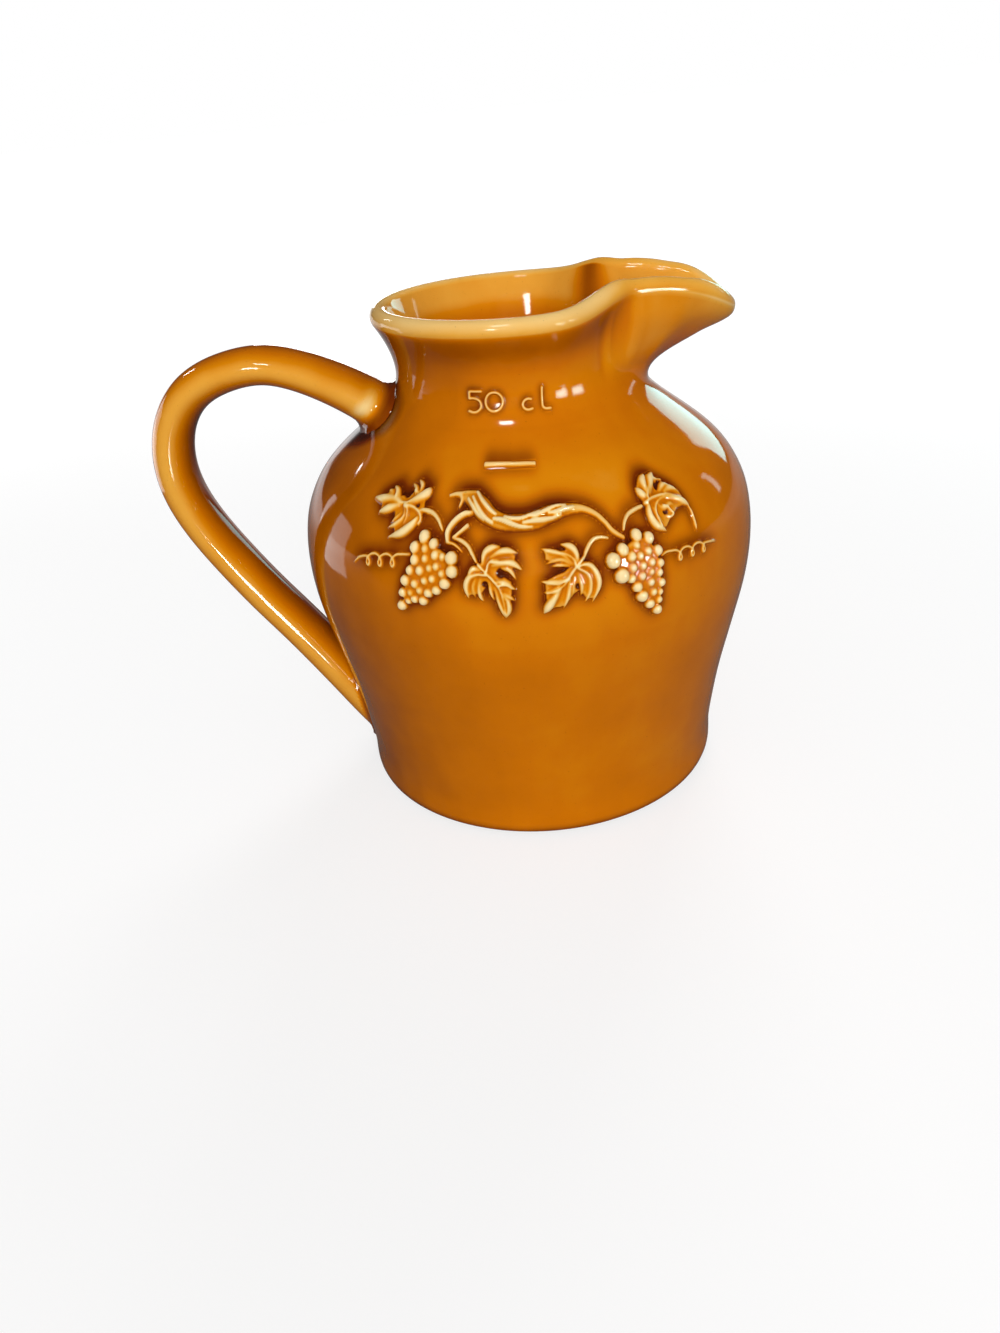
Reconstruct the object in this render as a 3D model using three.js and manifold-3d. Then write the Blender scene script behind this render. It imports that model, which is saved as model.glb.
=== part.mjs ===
// Half-litre pouring jug in glazed stoneware, with a grapevine in low relief.
// Millimetres, +Z up. The spout points along +X, the handle along -X and the
// vine faces -Y. The jug stands on the plane z = 0.

import * as THREE from 'three';
import { mergeVertices } from 'three/addons/utils/BufferGeometryUtils.js';
import Module from 'manifold-3d';

const wasm = await Module();
wasm.setup();

// Driving dimensions of the thrown body
const bellyRadius = 52.5;
const wallThickness = 3.7;
const floorHeight = 5.2;
const footInnerRadius = 34.5;
const footOuterRadius = 40.9;
const footDepth = 1.8;
const floorCorner = 7;
const lipHeight = 111.3;
const lipRadius = 28.7;
const lipRoll = 2.2;
const lipThickening = 104;
const neckBottom = 88;
const directions = 48;

// Clearance between the body and each piece that is luted onto it
const seatGap = 0.3;

// Growth of the body's corners, so that its flats lie along the true curve
const facetGrowth = 0.12;

// Outside radius of the body against height, without the spout
const bodyProfile = [
  [0, 42], [0.8, 43.6], [1.8, 44.1], [3.5, 44.2], [8, 44.15], [14, 44.8], [25.5, 46.6], [37, 49.1],
  [48, 51.5], [54, 52.3], [59.6, 52.5], [65.3, 52.05], [71, 50.7], [76.6, 47.8],
  [80, 45], [82.3, 42.4], [85.1, 38.8], [88, 35], [90.8, 31.5], [93.7, 28.8],
  [96.5, 27.15], [99.3, 26.65], [102.2, 27], [105, 27.85], [107.9, 29.2], [110.2, 30.6],
];

// Heights at which the body is lofted, closer together where the profile turns
const levels = [
  0.4, 1.4, 3.5, 8, 16, 26, 36, 45, 53, 59.6, 65, 69.5, 73.5, 77, 80.5, 84,
  87, 90, 93, 96, 99.5, 103, 106.5, 110.2,
];

// Centre of the rolled lip on the spout's side: distance along X, half width, height
const spoutLip = [
  [6.3, 28, 111.4], [10.5, 26.4, 111.6], [14.7, 22.6, 112.4], [18.9, 18.5, 113.9],
  [23.1, 14.9, 115.4], [29.4, 13.4, 115.4], [35.7, 11.9, 114], [40.5, 9.4, 112],
  [44.2, 5.2, 109.4],
];
const spoutTip = [45.9, 0, 107.8];

// The spout is drawn out above this height. Its cheeks and its blunt nose stand out
// from the neck's waist to the lip: spans of the lip's X, and of height
const spoutStart = 92;
const waistFlare = -1.9;
const cheek = { from: [20, 26], to: [34, 44], rise: [96, 107], flare: 2 };
const nose = { from: [37, 46], rise: [103, 109], flare: 2.6, drop: 0.8 };

// Handle centre line in the plane y = 0: distance along X, height
const handleLine = [
  [-24, 86.2], [-30, 90.2], [-38.5, 95.9], [-48.2, 100.6], [-57, 102.8], [-67, 101.2],
  [-74.2, 97.5], [-79.1, 90.8], [-81.1, 82.6], [-80.5, 75.2], [-78, 68], [-73.8, 60],
  [-66.6, 48.5], [-58.4, 36.9], [-50.5, 25], [-43, 13.5], [-37, 5.5],
];
// Half thickness and half width of the handle's oval section along its length
const handleThickness = [[0, 5.6], [0.1, 4.9], [0.22, 4.3], [0.5, 4.9], [0.8, 5.2], [1, 5.5]];
const handleWidth = [[0, 8.6], [0.1, 7.9], [0.22, 7.1], [0.5, 6.9], [0.8, 7.3], [1, 8.4]];

// Heights of the relief above the body
const leafHeight = 1.4;
const leafSheet = 0.55;
const stemHeight = 1;
const twigHeight = 1.4;
const branchHeight = 2.2;
const bunchBacking = 1;
const tendrilHeight = 0.7;
const markHeight = 0.8;

// Half widths of the evenly thick lines of the relief
const stemHalfWidth = 0.4;
const tendrilHalfWidth = 0.33;
const markHalfWidth = 0.5;

const glaze = {
  amber: new THREE.Color(0.72, 0.36, 0.04),
  honey: new THREE.Color(0.84, 0.52, 0.14),
  cream: new THREE.Color(0.93, 0.76, 0.42),
};

const jug = new THREE.Group();

function addPiece(name, geometry, colour) {
  const material = new THREE.MeshStandardMaterial({ color: colour, roughness: 0.12, metalness: 0 });
  const mesh = new THREE.Mesh(geometry, material);
  mesh.name = name;
  jug.add(mesh);
}

// Cubic curve through [x, value] pairs
function valueAt(table, x) {
  let i = 0;
  while (i < table.length - 2 && x > table[i + 1][0]) i += 1;
  const slope = (j) => {
    const low = table[Math.max(j - 1, 0)];
    const high = table[Math.min(j + 1, table.length - 1)];
    return (high[1] - low[1]) / (high[0] - low[0]);
  };
  const [x0, y0] = table[i];
  const [x1, y1] = table[i + 1];
  const span = x1 - x0;
  const t = THREE.MathUtils.clamp((x - x0) / span, 0, 1);
  const m0 = slope(i) * span;
  const m1 = slope(i + 1) * span;
  const bend = (2 * t ** 3 - 3 * t ** 2 + 1) * y0 + (t ** 3 - 2 * t ** 2 + t) * m0;
  return bend + (3 * t ** 2 - 2 * t ** 3) * y1 + (t ** 3 - t ** 2) * m1;
}

function bodyRadius(z) {
  return valueAt(bodyProfile, z) + facetGrowth;
}

// Closed surface through a stack of rings, with a single point at each end
function skin(startPoint, rings, endPoint) {
  const count = rings[0].length;
  const points = [startPoint, ...rings.flat(), endPoint];
  const index = [];
  const at = (ring, i) => 1 + ring * count + (i % count);
  const last = points.length - 1;
  for (let i = 0; i < count; i += 1) {
    index.push(0, at(0, i + 1), at(0, i));
    index.push(last, at(rings.length - 1, i), at(rings.length - 1, i + 1));
    for (let ring = 0; ring < rings.length - 1; ring += 1) {
      index.push(at(ring, i), at(ring, i + 1), at(ring + 1, i + 1));
      index.push(at(ring, i), at(ring + 1, i + 1), at(ring + 1, i));
    }
  }
  const geometry = new THREE.BufferGeometry().setFromPoints(points);
  geometry.setIndex(index);
  return geometry;
}

function toSolid(geometry) {
  const bare = geometry.clone();
  bare.deleteAttribute('normal');
  bare.deleteAttribute('uv');
  const merged = mergeVertices(bare, 1e-4);
  const mesh = new wasm.Mesh({
    numProp: 3,
    vertProperties: new Float32Array(merged.attributes.position.array),
    triVerts: new Uint32Array(merged.index.array),
  });
  const solid = new wasm.Manifold(mesh);
  if (solid.volume() > 0) return solid;
  // A ring stack laid the other way round faces inwards, so its triangles are turned over
  mesh.triVerts.reverse();
  return new wasm.Manifold(mesh);
}

function toGeometry(solid) {
  const mesh = solid.getMesh();
  const geometry = new THREE.BufferGeometry();
  geometry.setAttribute('position', new THREE.BufferAttribute(mesh.vertProperties, 3));
  geometry.setIndex(new THREE.BufferAttribute(mesh.triVerts, 1));
  return geometry;
}

function joined(solids) {
  return solids.reduce((whole, solid) => whole.add(solid));
}

// Solid of the plain round body, grown outwards, that seats the luted pieces
function bodyEnvelope(growth) {
  const below = -20;
  const sides = 60;
  const profile = [new THREE.Vector2(0, below), new THREE.Vector2(footOuterRadius + growth, below)];
  for (const z of levels) {
    profile.push(new THREE.Vector2(bodyRadius(z) + growth, z));
  }
  profile.push(new THREE.Vector2(0, levels[levels.length - 1]));
  return toSolid(new THREE.LatheGeometry(profile, sides).rotateX(Math.PI / 2));
}

// Point on the front of the body: arc length round the belly from the middle of
// the relief, height, and distance out from the surface
function onBody(arc, z, out) {
  const slope = bodyRadius(z + 0.5) - bodyRadius(z - 0.5);
  const scale = out / Math.hypot(1, slope);
  const radius = bodyRadius(z) + scale;
  const angle = arc / bellyRadius;
  return new THREE.Vector3(radius * Math.sin(angle), -radius * Math.cos(angle), z - slope * scale);
}

// Centre line of the rolled lip, once round the mouth and the spout
function lipLine() {
  const points = [];
  for (let angle = -180; angle <= -90; angle += 15) {
    const turn = THREE.MathUtils.degToRad(angle);
    const [x, y] = [lipRadius * Math.cos(turn), lipRadius * Math.sin(turn)];
    points.push(new THREE.Vector3(x, y, lipHeight));
  }
  const near = spoutLip.map(([x, half, z]) => new THREE.Vector3(x, -half, z));
  const far = [...points.slice(1), ...near].reverse().map((p) => new THREE.Vector3(p.x, -p.y, p.z));
  const whole = [...points, ...near, new THREE.Vector3(...spoutTip), ...far];
  const line = new THREE.CatmullRomCurve3(whole, true, 'centripetal');
  return line.getSpacedPoints(directions).slice(0, -1);
}

// Direction of a closed ring at point i, true on a circle with uneven spacing
function tangentAt(ring, i) {
  const here = ring[i];
  const ahead = ring[(i + 1) % ring.length].clone().sub(here);
  const behind = here.clone().sub(ring[(i + ring.length - 1) % ring.length]);
  return ahead.divideScalar(ahead.lengthSq()).add(behind.divideScalar(behind.lengthSq())).normalize();
}

// How far the wall stands out from the lip's line at one place on the lip and one height
function flareAt(lipX, z) {
  const { smoothstep } = THREE.MathUtils;
  const plain = bodyRadius(z) - lipRadius;
  const onCheek = smoothstep(lipX, ...cheek.from) * (1 - smoothstep(lipX, ...cheek.to));
  const onNose = smoothstep(lipX, ...nose.from);
  const full = (part) => waistFlare + (part.flare - waistFlare) * smoothstep(z, ...part.rise);
  const swell = (part) => Math.max(full(part) - plain, 0);
  return plain + onCheek * swell(cheek) + onNose * swell(nose);
}

// One level of the outside: round low down, drawn out into the spout higher up
function outerRing(lip, z) {
  const centre = lip.map((p) => {
    const drop = nose.drop * THREE.MathUtils.smoothstep(p.x, ...nose.from);
    const draw = THREE.MathUtils.smoothstep(z, spoutStart, lipHeight - drop);
    const round = new THREE.Vector3(p.x, p.y, 0).setLength(lipRadius);
    round.z = z;
    const drawn = new THREE.Vector3(p.x, p.y, z + p.z - lipHeight);
    return round.lerp(drawn, draw);
  });
  return centre.map((p, i) => {
    const along = tangentAt(centre, i);
    const outward = new THREE.Vector3(along.y, -along.x, 0).normalize();
    return p.clone().addScaledVector(outward, flareAt(lip[i].x, z));
  });
}

// Outward direction of the wall at every point of a stack of levels
function wallNormals(rings) {
  return rings.map((ring, k) => {
    const low = rings[Math.max(k - 1, 0)];
    const high = rings[Math.min(k + 1, rings.length - 1)];
    return ring.map((p, i) => tangentAt(ring, i).cross(high[i].clone().sub(low[i])).normalize());
  });
}

function roundRing(lip, radius, z) {
  return lip.map((p) => {
    const around = new THREE.Vector3(p.x, p.y, 0).setLength(radius);
    around.z = z;
    return around;
  });
}

// The lip rolls over from the top level of the outside towards the inside
function rolledLip(edge, outwards) {
  return [40, 80, 120, 150].map((degrees) => {
    const turn = THREE.MathUtils.degToRad(degrees);
    return edge.map((p, i) => {
      const over = tangentAt(edge, i).cross(outwards[i]).negate();
      const rolled = p.clone().addScaledVector(outwards[i], lipRoll * (Math.cos(turn) - 1));
      return rolled.addScaledVector(over, lipRoll * Math.sin(turn));
    });
  });
}

// Inside of the wall, from the lip down, with every other level left out below the neck
function innerWall(outside, normals) {
  const rings = [];
  const lowest = floorHeight + floorCorner;
  for (let k = levels.length - 1; levels[k] > lowest; k -= levels[k] > neckBottom ? 1 : 2) {
    const blend = THREE.MathUtils.smoothstep(levels[k], lipThickening, lipHeight);
    const wall = THREE.MathUtils.lerp(wallThickness, 2 * lipRoll, blend);
    rings.push(outside[k].map((p, i) => p.clone().addScaledVector(normals[k][i], -wall)));
  }
  return rings;
}

// Hollow body: foot ring, belly, neck and pinched spout, rolled lip, inside and floor
function jugBody() {
  const lip = lipLine();
  const outside = levels.map((z) => outerRing(lip, z));
  const normals = wallNormals(outside);
  const last = outside.length - 1;
  const lipRings = rolledLip(outside[last], normals[last]);
  const inside = innerWall(outside, normals);
  const foot = [
    [footInnerRadius - footDepth, footDepth], [footInnerRadius, 0], [footOuterRadius, 0],
  ].map(([radius, z]) => roundRing(lip, radius, z));
  const cornerCentre = bodyRadius(floorHeight + floorCorner) - wallThickness - floorCorner;
  const floor = [20, 50, 90].map((degrees) => {
    const turn = THREE.MathUtils.degToRad(degrees);
    const radius = cornerCentre + floorCorner * Math.cos(turn);
    return roundRing(lip, radius, floorHeight + floorCorner * (1 - Math.sin(turn)));
  });
  const under = new THREE.Vector3(0, 0, footDepth);
  const middle = new THREE.Vector3(0, 0, floorHeight);
  return skin(under, [...foot, ...outside, ...lipRings, ...inside, ...floor], middle);
}

// Pulled handle: an oval section swept along its line and cut to the body's curve
function handle(envelope) {
  const route = handleLine.map(([x, z]) => new THREE.Vector3(x, 0, z));
  const line = new THREE.CatmullRomCurve3(route, false, 'centripetal');
  const steps = 28;
  const sides = 12;
  const rings = [];
  for (let k = 0; k <= steps; k += 1) {
    const place = k / steps;
    const centre = line.getPointAt(place);
    const along = line.getTangentAt(place);
    const outward = new THREE.Vector3(-along.z, 0, along.x);
    const thick = valueAt(handleThickness, place);
    const wide = valueAt(handleWidth, place);
    const ring = [];
    for (let i = 0; i < sides; i += 1) {
      const turn = (2 * Math.PI * i) / sides;
      const point = centre.clone().addScaledVector(outward, thick * Math.cos(turn));
      point.y = wide * Math.sin(turn);
      ring.push(point);
    }
    rings.push(ring);
  }
  return toSolid(skin(route[0], rings, route[route.length - 1])).subtract(envelope);
}

// Rounded bead laid on the body along [arc, height] points, with a half width at each
function bead(points, halfWidths, height, steps = 2 * (points.length - 1)) {
  const route = points.map(([arc, z]) => new THREE.Vector3(arc, z, 0));
  const line = new THREE.CatmullRomCurve3(route, false, 'centripetal');
  const widest = Math.max(...halfWidths);
  const section = [[-1, -0.5], [-0.75, 0.65], [0, 1], [0.75, 0.65], [1, -0.5]];
  const rings = [];
  for (let k = 0; k <= steps; k += 1) {
    const place = (k / steps) * (points.length - 1);
    const from = Math.min(Math.floor(place), points.length - 2);
    const half = THREE.MathUtils.lerp(halfWidths[from], halfWidths[from + 1], place - from);
    const centre = line.getPoint(k / steps);
    const along = line.getTangent(k / steps);
    const rise = height * Math.sqrt(half / widest);
    rings.push(section.map(([side, up]) => {
      const arc = centre.x - along.y * side * half;
      const z = centre.y + along.x * side * half;
      return onBody(arc, z, up > 0 ? seatGap + rise * up : up);
    }));
  }
  const start = onBody(...points[0], seatGap);
  const end = onBody(...points[points.length - 1], seatGap);
  return toSolid(skin(start, rings, end));
}

// Low sheet that joins a leaf's blades: a fan round its middle
function sheet(middle, outline, height) {
  const edge = (out) => outline.map(([arc, z]) => onBody(arc, z, out));
  const top = onBody(...middle, seatGap + height);
  return toSolid(skin(top, [edge(seatGap + height), edge(-0.5)], onBody(...middle, -0.5)));
}

// Vine leaf: each blade is a bead that swells and runs out to a pointed tip
function leaf(middle, outline, blades) {
  const parts = blades.map(([half, ...points]) => {
    const widths = points.map((p, i) => (i === points.length - 1 ? 0.12 : half * (i === 0 ? 0.6 : 1)));
    return bead(points, widths, leafHeight, points.length);
  });
  return joined([sheet(middle, outline, leafSheet), ...parts]);
}

// Bunch of grapes: berries pressed against a low backing
function bunch(middle, outline, berries) {
  const proud = 0.4;
  const parts = berries.map(([arc, z, radius]) => {
    const berry = new THREE.DodecahedronGeometry(1.04 * radius);
    const centre = onBody(arc, z, seatGap + proud * radius);
    return toSolid(berry.translate(centre.x, centre.y, centre.z));
  });
  return joined([sheet(middle, outline, bunchBacking), ...parts]);
}

// Curling tendril: a line that loops the loop as it runs out from the bunch
function tendril(lead, start, pitch, drop, loops, radius, tail) {
  const points = [...lead];
  const perLoop = 8;
  for (let k = 0; k <= loops * perLoop; k += 1) {
    const turns = k / perLoop;
    const angle = 2 * Math.PI * turns;
    const arc = start[0] + pitch * turns + Math.sign(pitch) * radius * Math.sin(angle);
    points.push([arc, start[1] + drop * turns + radius * Math.cos(angle)]);
  }
  points.push(...tail);
  // The line crosses itself, so it is laid as short runs that are joined
  const runLength = perLoop / 2;
  const beads = [];
  for (let from = 0; from < points.length - 1; from += runLength) {
    const run = points.slice(from, from + runLength + 1);
    beads.push(bead(run, run.map(() => tendrilHalfWidth), tendrilHeight, run.length - 1));
  }
  return joined(beads);
}

const envelope = bodyEnvelope(seatGap);
const seated = (solid) => toGeometry(solid.subtract(envelope));

addPiece('jug_body', jugBody(), glaze.amber);
addPiece('handle', toGeometry(handle(envelope)), glaze.honey);

const branchLine = [
  [-18.8, 82.7], [-16.6, 82.5], [-14, 82.2], [-11, 81.6], [-8, 79.9], [-4, 78.9], [-1, 78.8],
  [2.2, 79.1], [5.5, 79.8], [9, 80.1], [12.5, 79.9], [15.5, 78.6], [17.8, 76], [20, 74.3],
];
const branchHalfWidth = [0.45, 0.9, 1.3, 1.7, 1.45, 1.25, 1.35, 1.45, 1.3, 0.85, 0.62, 0.6, 0.6, 0.5];
addPiece('vine_branch', seated(bead(branchLine, branchHalfWidth, branchHeight)), glaze.cream);

const twigLine = [[-15, 79.8], [-16.4, 79.1], [-17.6, 77.9], [-17.6, 76.2]];
const twig = bead(twigLine, [0.4, 0.62, 0.65, 0.55], twigHeight);
const twigBud = bead([[-17.4, 76.7], [-15.3, 77], [-13.2, 78.4]], [0.3, 0.4, 0.42], stemHeight);
addPiece('left_twig', seated(joined([twig, twigBud])), glaze.cream);

const stems = {
  upper_left_stem: [[-23.8, 80.2], [-22, 80], [-20.4, 79.3], [-19, 77.9]],
  lower_left_stem: [[-15.3, 75.9], [-14, 75.8], [-12.7, 75.1], [-11.8, 73.9], [-11.2, 72.9]],
  upper_right_stem: [[21.1, 75.8], [22, 77], [23.5, 77.9], [26.4, 78.2]],
  lower_right_stem: [[16.2, 74.5], [14.5, 74.8], [12.8, 74.3], [11.7, 73.2], [11.3, 72.5]],
};
for (const [name, points] of Object.entries(stems)) {
  addPiece(name, seated(bead(points, points.map(() => stemHalfWidth), stemHeight)), glaze.cream);
}

const upperLeftLeaf = leaf([-30, 80.6], [
  [-36.5, 81.4], [-33, 82], [-30, 82.6], [-27.5, 83.2], [-25.2, 82.6], [-26, 80.6],
  [-25.8, 78.4], [-28, 77], [-30.6, 76.6], [-31, 78.6], [-34, 79.6],
], [
  [0.8, [-30, 80.8], [-33, 81.4], [-37, 81.2], [-40.6, 80.9]],
  [0.45, [-32, 81.3], [-34, 82.6], [-35.9, 83.3]],
  [0.45, [-33.8, 81.6], [-35.8, 82.3], [-37.2, 82.4]],
  [0.85, [-31.5, 80.6], [-34.5, 79.8], [-37.1, 78.9]],
  [0.55, [-28, 81.6], [-28.3, 83.2], [-30.8, 84.1]],
  [0.55, [-27, 82], [-27.3, 83.8], [-29.3, 84.6]],
  [0.95, [-29.6, 80.9], [-27, 82], [-24.6, 82.9], [-23.7, 83.2]],
  [0.9, [-28.4, 80.3], [-25.8, 79.3], [-27.6, 77.3], [-29.6, 76.1], [-32.2, 75.4]],
  [0.6, [-29.7, 80.5], [-29.2, 79], [-30.8, 77.7], [-32.9, 76.7]],
]);
const lowerLeftLeaf = leaf([-8.6, 70.6], [
  [-7.6, 74.2], [-5, 73.6], [-4, 71.6], [-6.6, 70.4], [-4.4, 68.6], [-4.8, 65.4], [-5.6, 63.4],
  [-7, 66.4], [-8.8, 68.6], [-10, 67.4], [-12.6, 67], [-12.8, 69.6], [-10.4, 71.6],
], [
  [0.7, [-9.2, 70.8], [-9.2, 72.8], [-8, 74.5], [-5.9, 75.1]],
  [0.65, [-8.8, 71], [-7, 73.6], [-4.8, 74.3], [-2.5, 74.1]],
  [0.7, [-8.4, 71], [-6.4, 72.6], [-3.6, 72.4], [-1.7, 71.3]],
  [0.5, [-6.6, 71.9], [-4.4, 71], [-3.1, 69.2]],
  [0.85, [-9.2, 70.7], [-7, 68.6], [-5.7, 65], [-5.5, 61.6]],
  [0.55, [-7.4, 69.4], [-5, 68.7], [-3, 67.3]],
  [0.5, [-6.4, 67.4], [-4.6, 66.6], [-3.3, 65]],
  [0.5, [-7.6, 69], [-8, 67.2], [-7.4, 65.3]],
  [0.75, [-9.4, 70.6], [-11.6, 70.2], [-13, 68.2], [-12.5, 65.6]],
  [0.5, [-10.6, 70.2], [-11.5, 68], [-11.2, 65.6]],
  [0.45, [-9.9, 70.2], [-10.4, 67.4], [-9.6, 65]],
]);
const upperRightLeaf = leaf([29.4, 78.6], [
  [27.4, 80.6], [30, 81.8], [32.4, 81], [33.4, 79.6], [36.4, 78.8], [36.4, 77.4], [33.4, 76.6],
  [31.6, 75], [29.4, 74.8], [28, 76.4],
], [
  [0.95, [28.9, 79.2], [27.9, 80], [27.2, 81.4]],
  [0.9, [29, 79.4], [29.6, 81.4], [31.2, 82.8]],
  [0.8, [29.4, 79.2], [31.8, 81.4], [34.2, 82.4]],
  [0.55, [30.4, 79.2], [33, 80.3], [35.4, 80.5]],
  [0.8, [29, 78.7], [33.6, 78.5], [36.8, 77.5], [38.8, 76]],
  [0.65, [32.6, 78.8], [35.6, 79.3], [37.9, 78.4]],
  [0.85, [28.9, 78.6], [27.8, 76.8], [28.5, 74.9], [30.6, 73]],
  [0.6, [29.4, 78.2], [29.5, 76.4], [31.2, 74.2]],
  [0.6, [29.6, 78.3], [31.6, 77], [33.2, 75.4]],
  [0.36, [38.4, 76.3], [38.8, 74.6], [38.6, 72], [38.7, 70.7]],
]);
const lowerRightLeaf = leaf([8.8, 70], [
  [7.8, 73.6], [5, 72.6], [4.4, 71.2], [7, 70.2], [4, 68.2], [4, 65.6], [3.6, 63.6], [6, 64.8],
  [8.2, 66.6], [9.2, 67], [10.8, 65.4], [12.4, 65.4], [12.8, 68.6], [11.4, 70.4],
], [
  [0.75, [9.1, 70.6], [9.1, 72.6], [8.3, 74.2], [6.4, 74.9]],
  [0.5, [8.8, 71], [6.6, 73], [4.4, 73.8], [2.2, 74.4]],
  [0.5, [8.6, 71], [6.2, 72.2], [2.7, 71.6]],
  [0.6, [9, 70.2], [6.6, 68.6], [4, 68.3], [1.8, 68.6]],
  [0.55, [7, 68.4], [4.6, 66.8], [2.1, 66.5]],
  [1, [8.4, 69.6], [6, 67.2], [4.1, 64.7], [1.8, 62.3]],
  [0.55, [7.9, 69], [7.3, 65.6], [5.8, 62.6]],
  [0.5, [8.7, 69.6], [8.9, 67], [9.3, 64.9]],
  [0.55, [9.3, 70.2], [11.6, 68.6], [11.8, 66], [10.4, 63.3]],
  [0.7, [9.6, 70.8], [12.4, 70], [13.3, 67], [11.7, 63.2]],
]);
addPiece('upper_left_leaf', seated(upperLeftLeaf), glaze.cream);
addPiece('lower_left_leaf', seated(lowerLeftLeaf), glaze.cream);
addPiece('upper_right_leaf', seated(upperRightLeaf), glaze.cream);
addPiece('lower_right_leaf', seated(lowerRightLeaf), glaze.cream);

const leftBunch = bunch([-22, 70], [
  [-22.6, 76.2], [-24.6, 74.4], [-25.2, 70.4], [-26.4, 67], [-27, 64], [-25, 64.2],
  [-22.4, 65], [-19.4, 67.2], [-17.4, 68.8], [-16, 71.4], [-16.6, 73.4], [-20.2, 75],
], [
  [-22.6, 76.3, 1.2], [-20.3, 75.3, 1], [-24.5, 74.4, 1.15], [-22.1, 74.4, 0.85], [-24.2, 72.3, 1.05],
  [-21.9, 72.7, 0.8], [-19.7, 73.4, 0.9], [-18, 73.2, 0.75], [-16.1, 73.1, 1.25], [-25.2, 70.3, 0.95],
  [-22.9, 70.5, 0.95], [-20.8, 71.1, 0.75], [-19.3, 71.5, 0.8], [-18, 70.3, 0.8], [-15.9, 70.8, 1.2],
  [-26.2, 68.3, 1.1], [-24, 67.9, 0.9], [-21.8, 68.7, 0.8], [-20.1, 69.2, 0.8], [-17.4, 68.5, 1.1],
  [-22.9, 66.7, 0.8], [-19.2, 67.1, 0.95], [-26.9, 65.8, 0.95], [-25.1, 66, 0.7], [-21, 66.4, 0.95],
  [-24.1, 64.8, 0.85], [-22.2, 64.7, 0.95], [-25.6, 64.2, 0.7], [-27.2, 63.1, 1.05],
]);
const rightBunch = bunch([23, 67], [
  [22.8, 73.6], [25.4, 72.8], [26.8, 70.2], [27, 67], [26.8, 64], [26.2, 61], [25.4, 58.8],
  [23.8, 60.2], [22, 62.4], [20.2, 65.6], [18, 67.4], [16.8, 70.4], [19.2, 72],
], [
  [22.8, 73.9, 1.15], [25.4, 72.9, 1.15], [22.3, 72.2, 0.8], [19.1, 72, 1.2], [24.6, 70.7, 0.85],
  [26.9, 70.3, 1.05], [16.7, 70.5, 1.45], [20.7, 70.5, 1], [22.6, 70.2, 0.85], [25, 68.5, 0.85],
  [27, 67.9, 0.9], [22.9, 68.3, 0.85], [20.6, 68.4, 0.95], [18.1, 67.4, 1.45], [24.6, 66.7, 0.75],
  [26.5, 66.1, 0.85], [20, 66.5, 1], [22.4, 66.4, 0.9], [24.3, 64.7, 0.85], [26.8, 64, 0.9],
  [21.2, 64.5, 1.05], [22.1, 62.4, 1.2], [24.7, 62.6, 0.85], [26.3, 62.2, 0.75], [26, 60.6, 0.8],
  [23.8, 60.3, 1], [25.5, 58.6, 1.05],
]);
addPiece('left_bunch', seated(leftBunch), glaze.cream);
addPiece('right_bunch', seated(rightBunch), glaze.cream);

const leftTendril = tendril([[-26.6, 72.8]], [-28.1, 71.5], -3.35, -0.45, 2.85, 1.2, [[-39.6, 70.4], [-41, 69.1]]);
const rightTendril = tendril([[29, 69]], [30.8, 67.9], 3.5, -0.25, 2.85, 1.15, [[42.6, 67.3], [44.2, 66.8]]);
addPiece('left_tendril', seated(leftTendril), glaze.cream);
addPiece('right_tendril', seated(rightTendril), glaze.cream);

const fillPoints = [[-11, 86.9], [-3.4, 86.9], [4.1, 86.9]];
const fillLine = bead(fillPoints, fillPoints.map(() => markHalfWidth), markHeight);
addPiece('fill_line', seated(fillLine), glaze.cream);

// The origin is halfway between the handle's outside and the front of the body
const box = new THREE.Box3().setFromObject(jug);
jug.position.x = -(box.min.x + box.max.x) / 2;

export default jug;
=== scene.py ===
import math
import bpy
import numpy as np
from mathutils import Matrix, Vector
from mathutils.kdtree import KDTree


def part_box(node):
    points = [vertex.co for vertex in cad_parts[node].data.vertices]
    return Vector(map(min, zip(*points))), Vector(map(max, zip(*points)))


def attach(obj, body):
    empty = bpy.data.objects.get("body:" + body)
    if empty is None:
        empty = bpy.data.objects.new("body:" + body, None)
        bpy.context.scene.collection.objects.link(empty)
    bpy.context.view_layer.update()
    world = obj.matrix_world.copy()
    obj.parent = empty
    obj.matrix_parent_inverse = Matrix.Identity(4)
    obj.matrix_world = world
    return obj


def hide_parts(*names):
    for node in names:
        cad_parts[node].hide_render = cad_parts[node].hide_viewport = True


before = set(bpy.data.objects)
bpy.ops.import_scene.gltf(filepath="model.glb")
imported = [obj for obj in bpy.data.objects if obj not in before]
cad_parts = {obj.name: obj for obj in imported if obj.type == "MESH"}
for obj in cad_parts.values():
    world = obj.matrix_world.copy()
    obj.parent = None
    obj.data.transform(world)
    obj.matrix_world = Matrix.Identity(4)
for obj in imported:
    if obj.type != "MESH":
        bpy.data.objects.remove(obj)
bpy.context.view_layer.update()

# Half-litre pouring jug in amber-glazed stoneware, with a grapevine in low relief.
# The spout points along +X, the handle along -X and the vine faces -Y. Shapes are
# worked out in millimetres round the body's own axis and turned into metres last.

MM = 0.001
body_low, body_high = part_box("jug_body")
body_axis = (body_low[0] + body_high[0]) / 2 / MM


# Camera
# A hand-held wide lens close above the jug, turned a little to the left and
# tilted, as in the photograph.

eye = (0.0, -226.87, 151.0)
turn_left, look_down, tilt = 0.0429007, 0.5200749, 0.0922162
photo_height_px, focal_px = 1333, 1000
film_height_mm = 36

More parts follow.
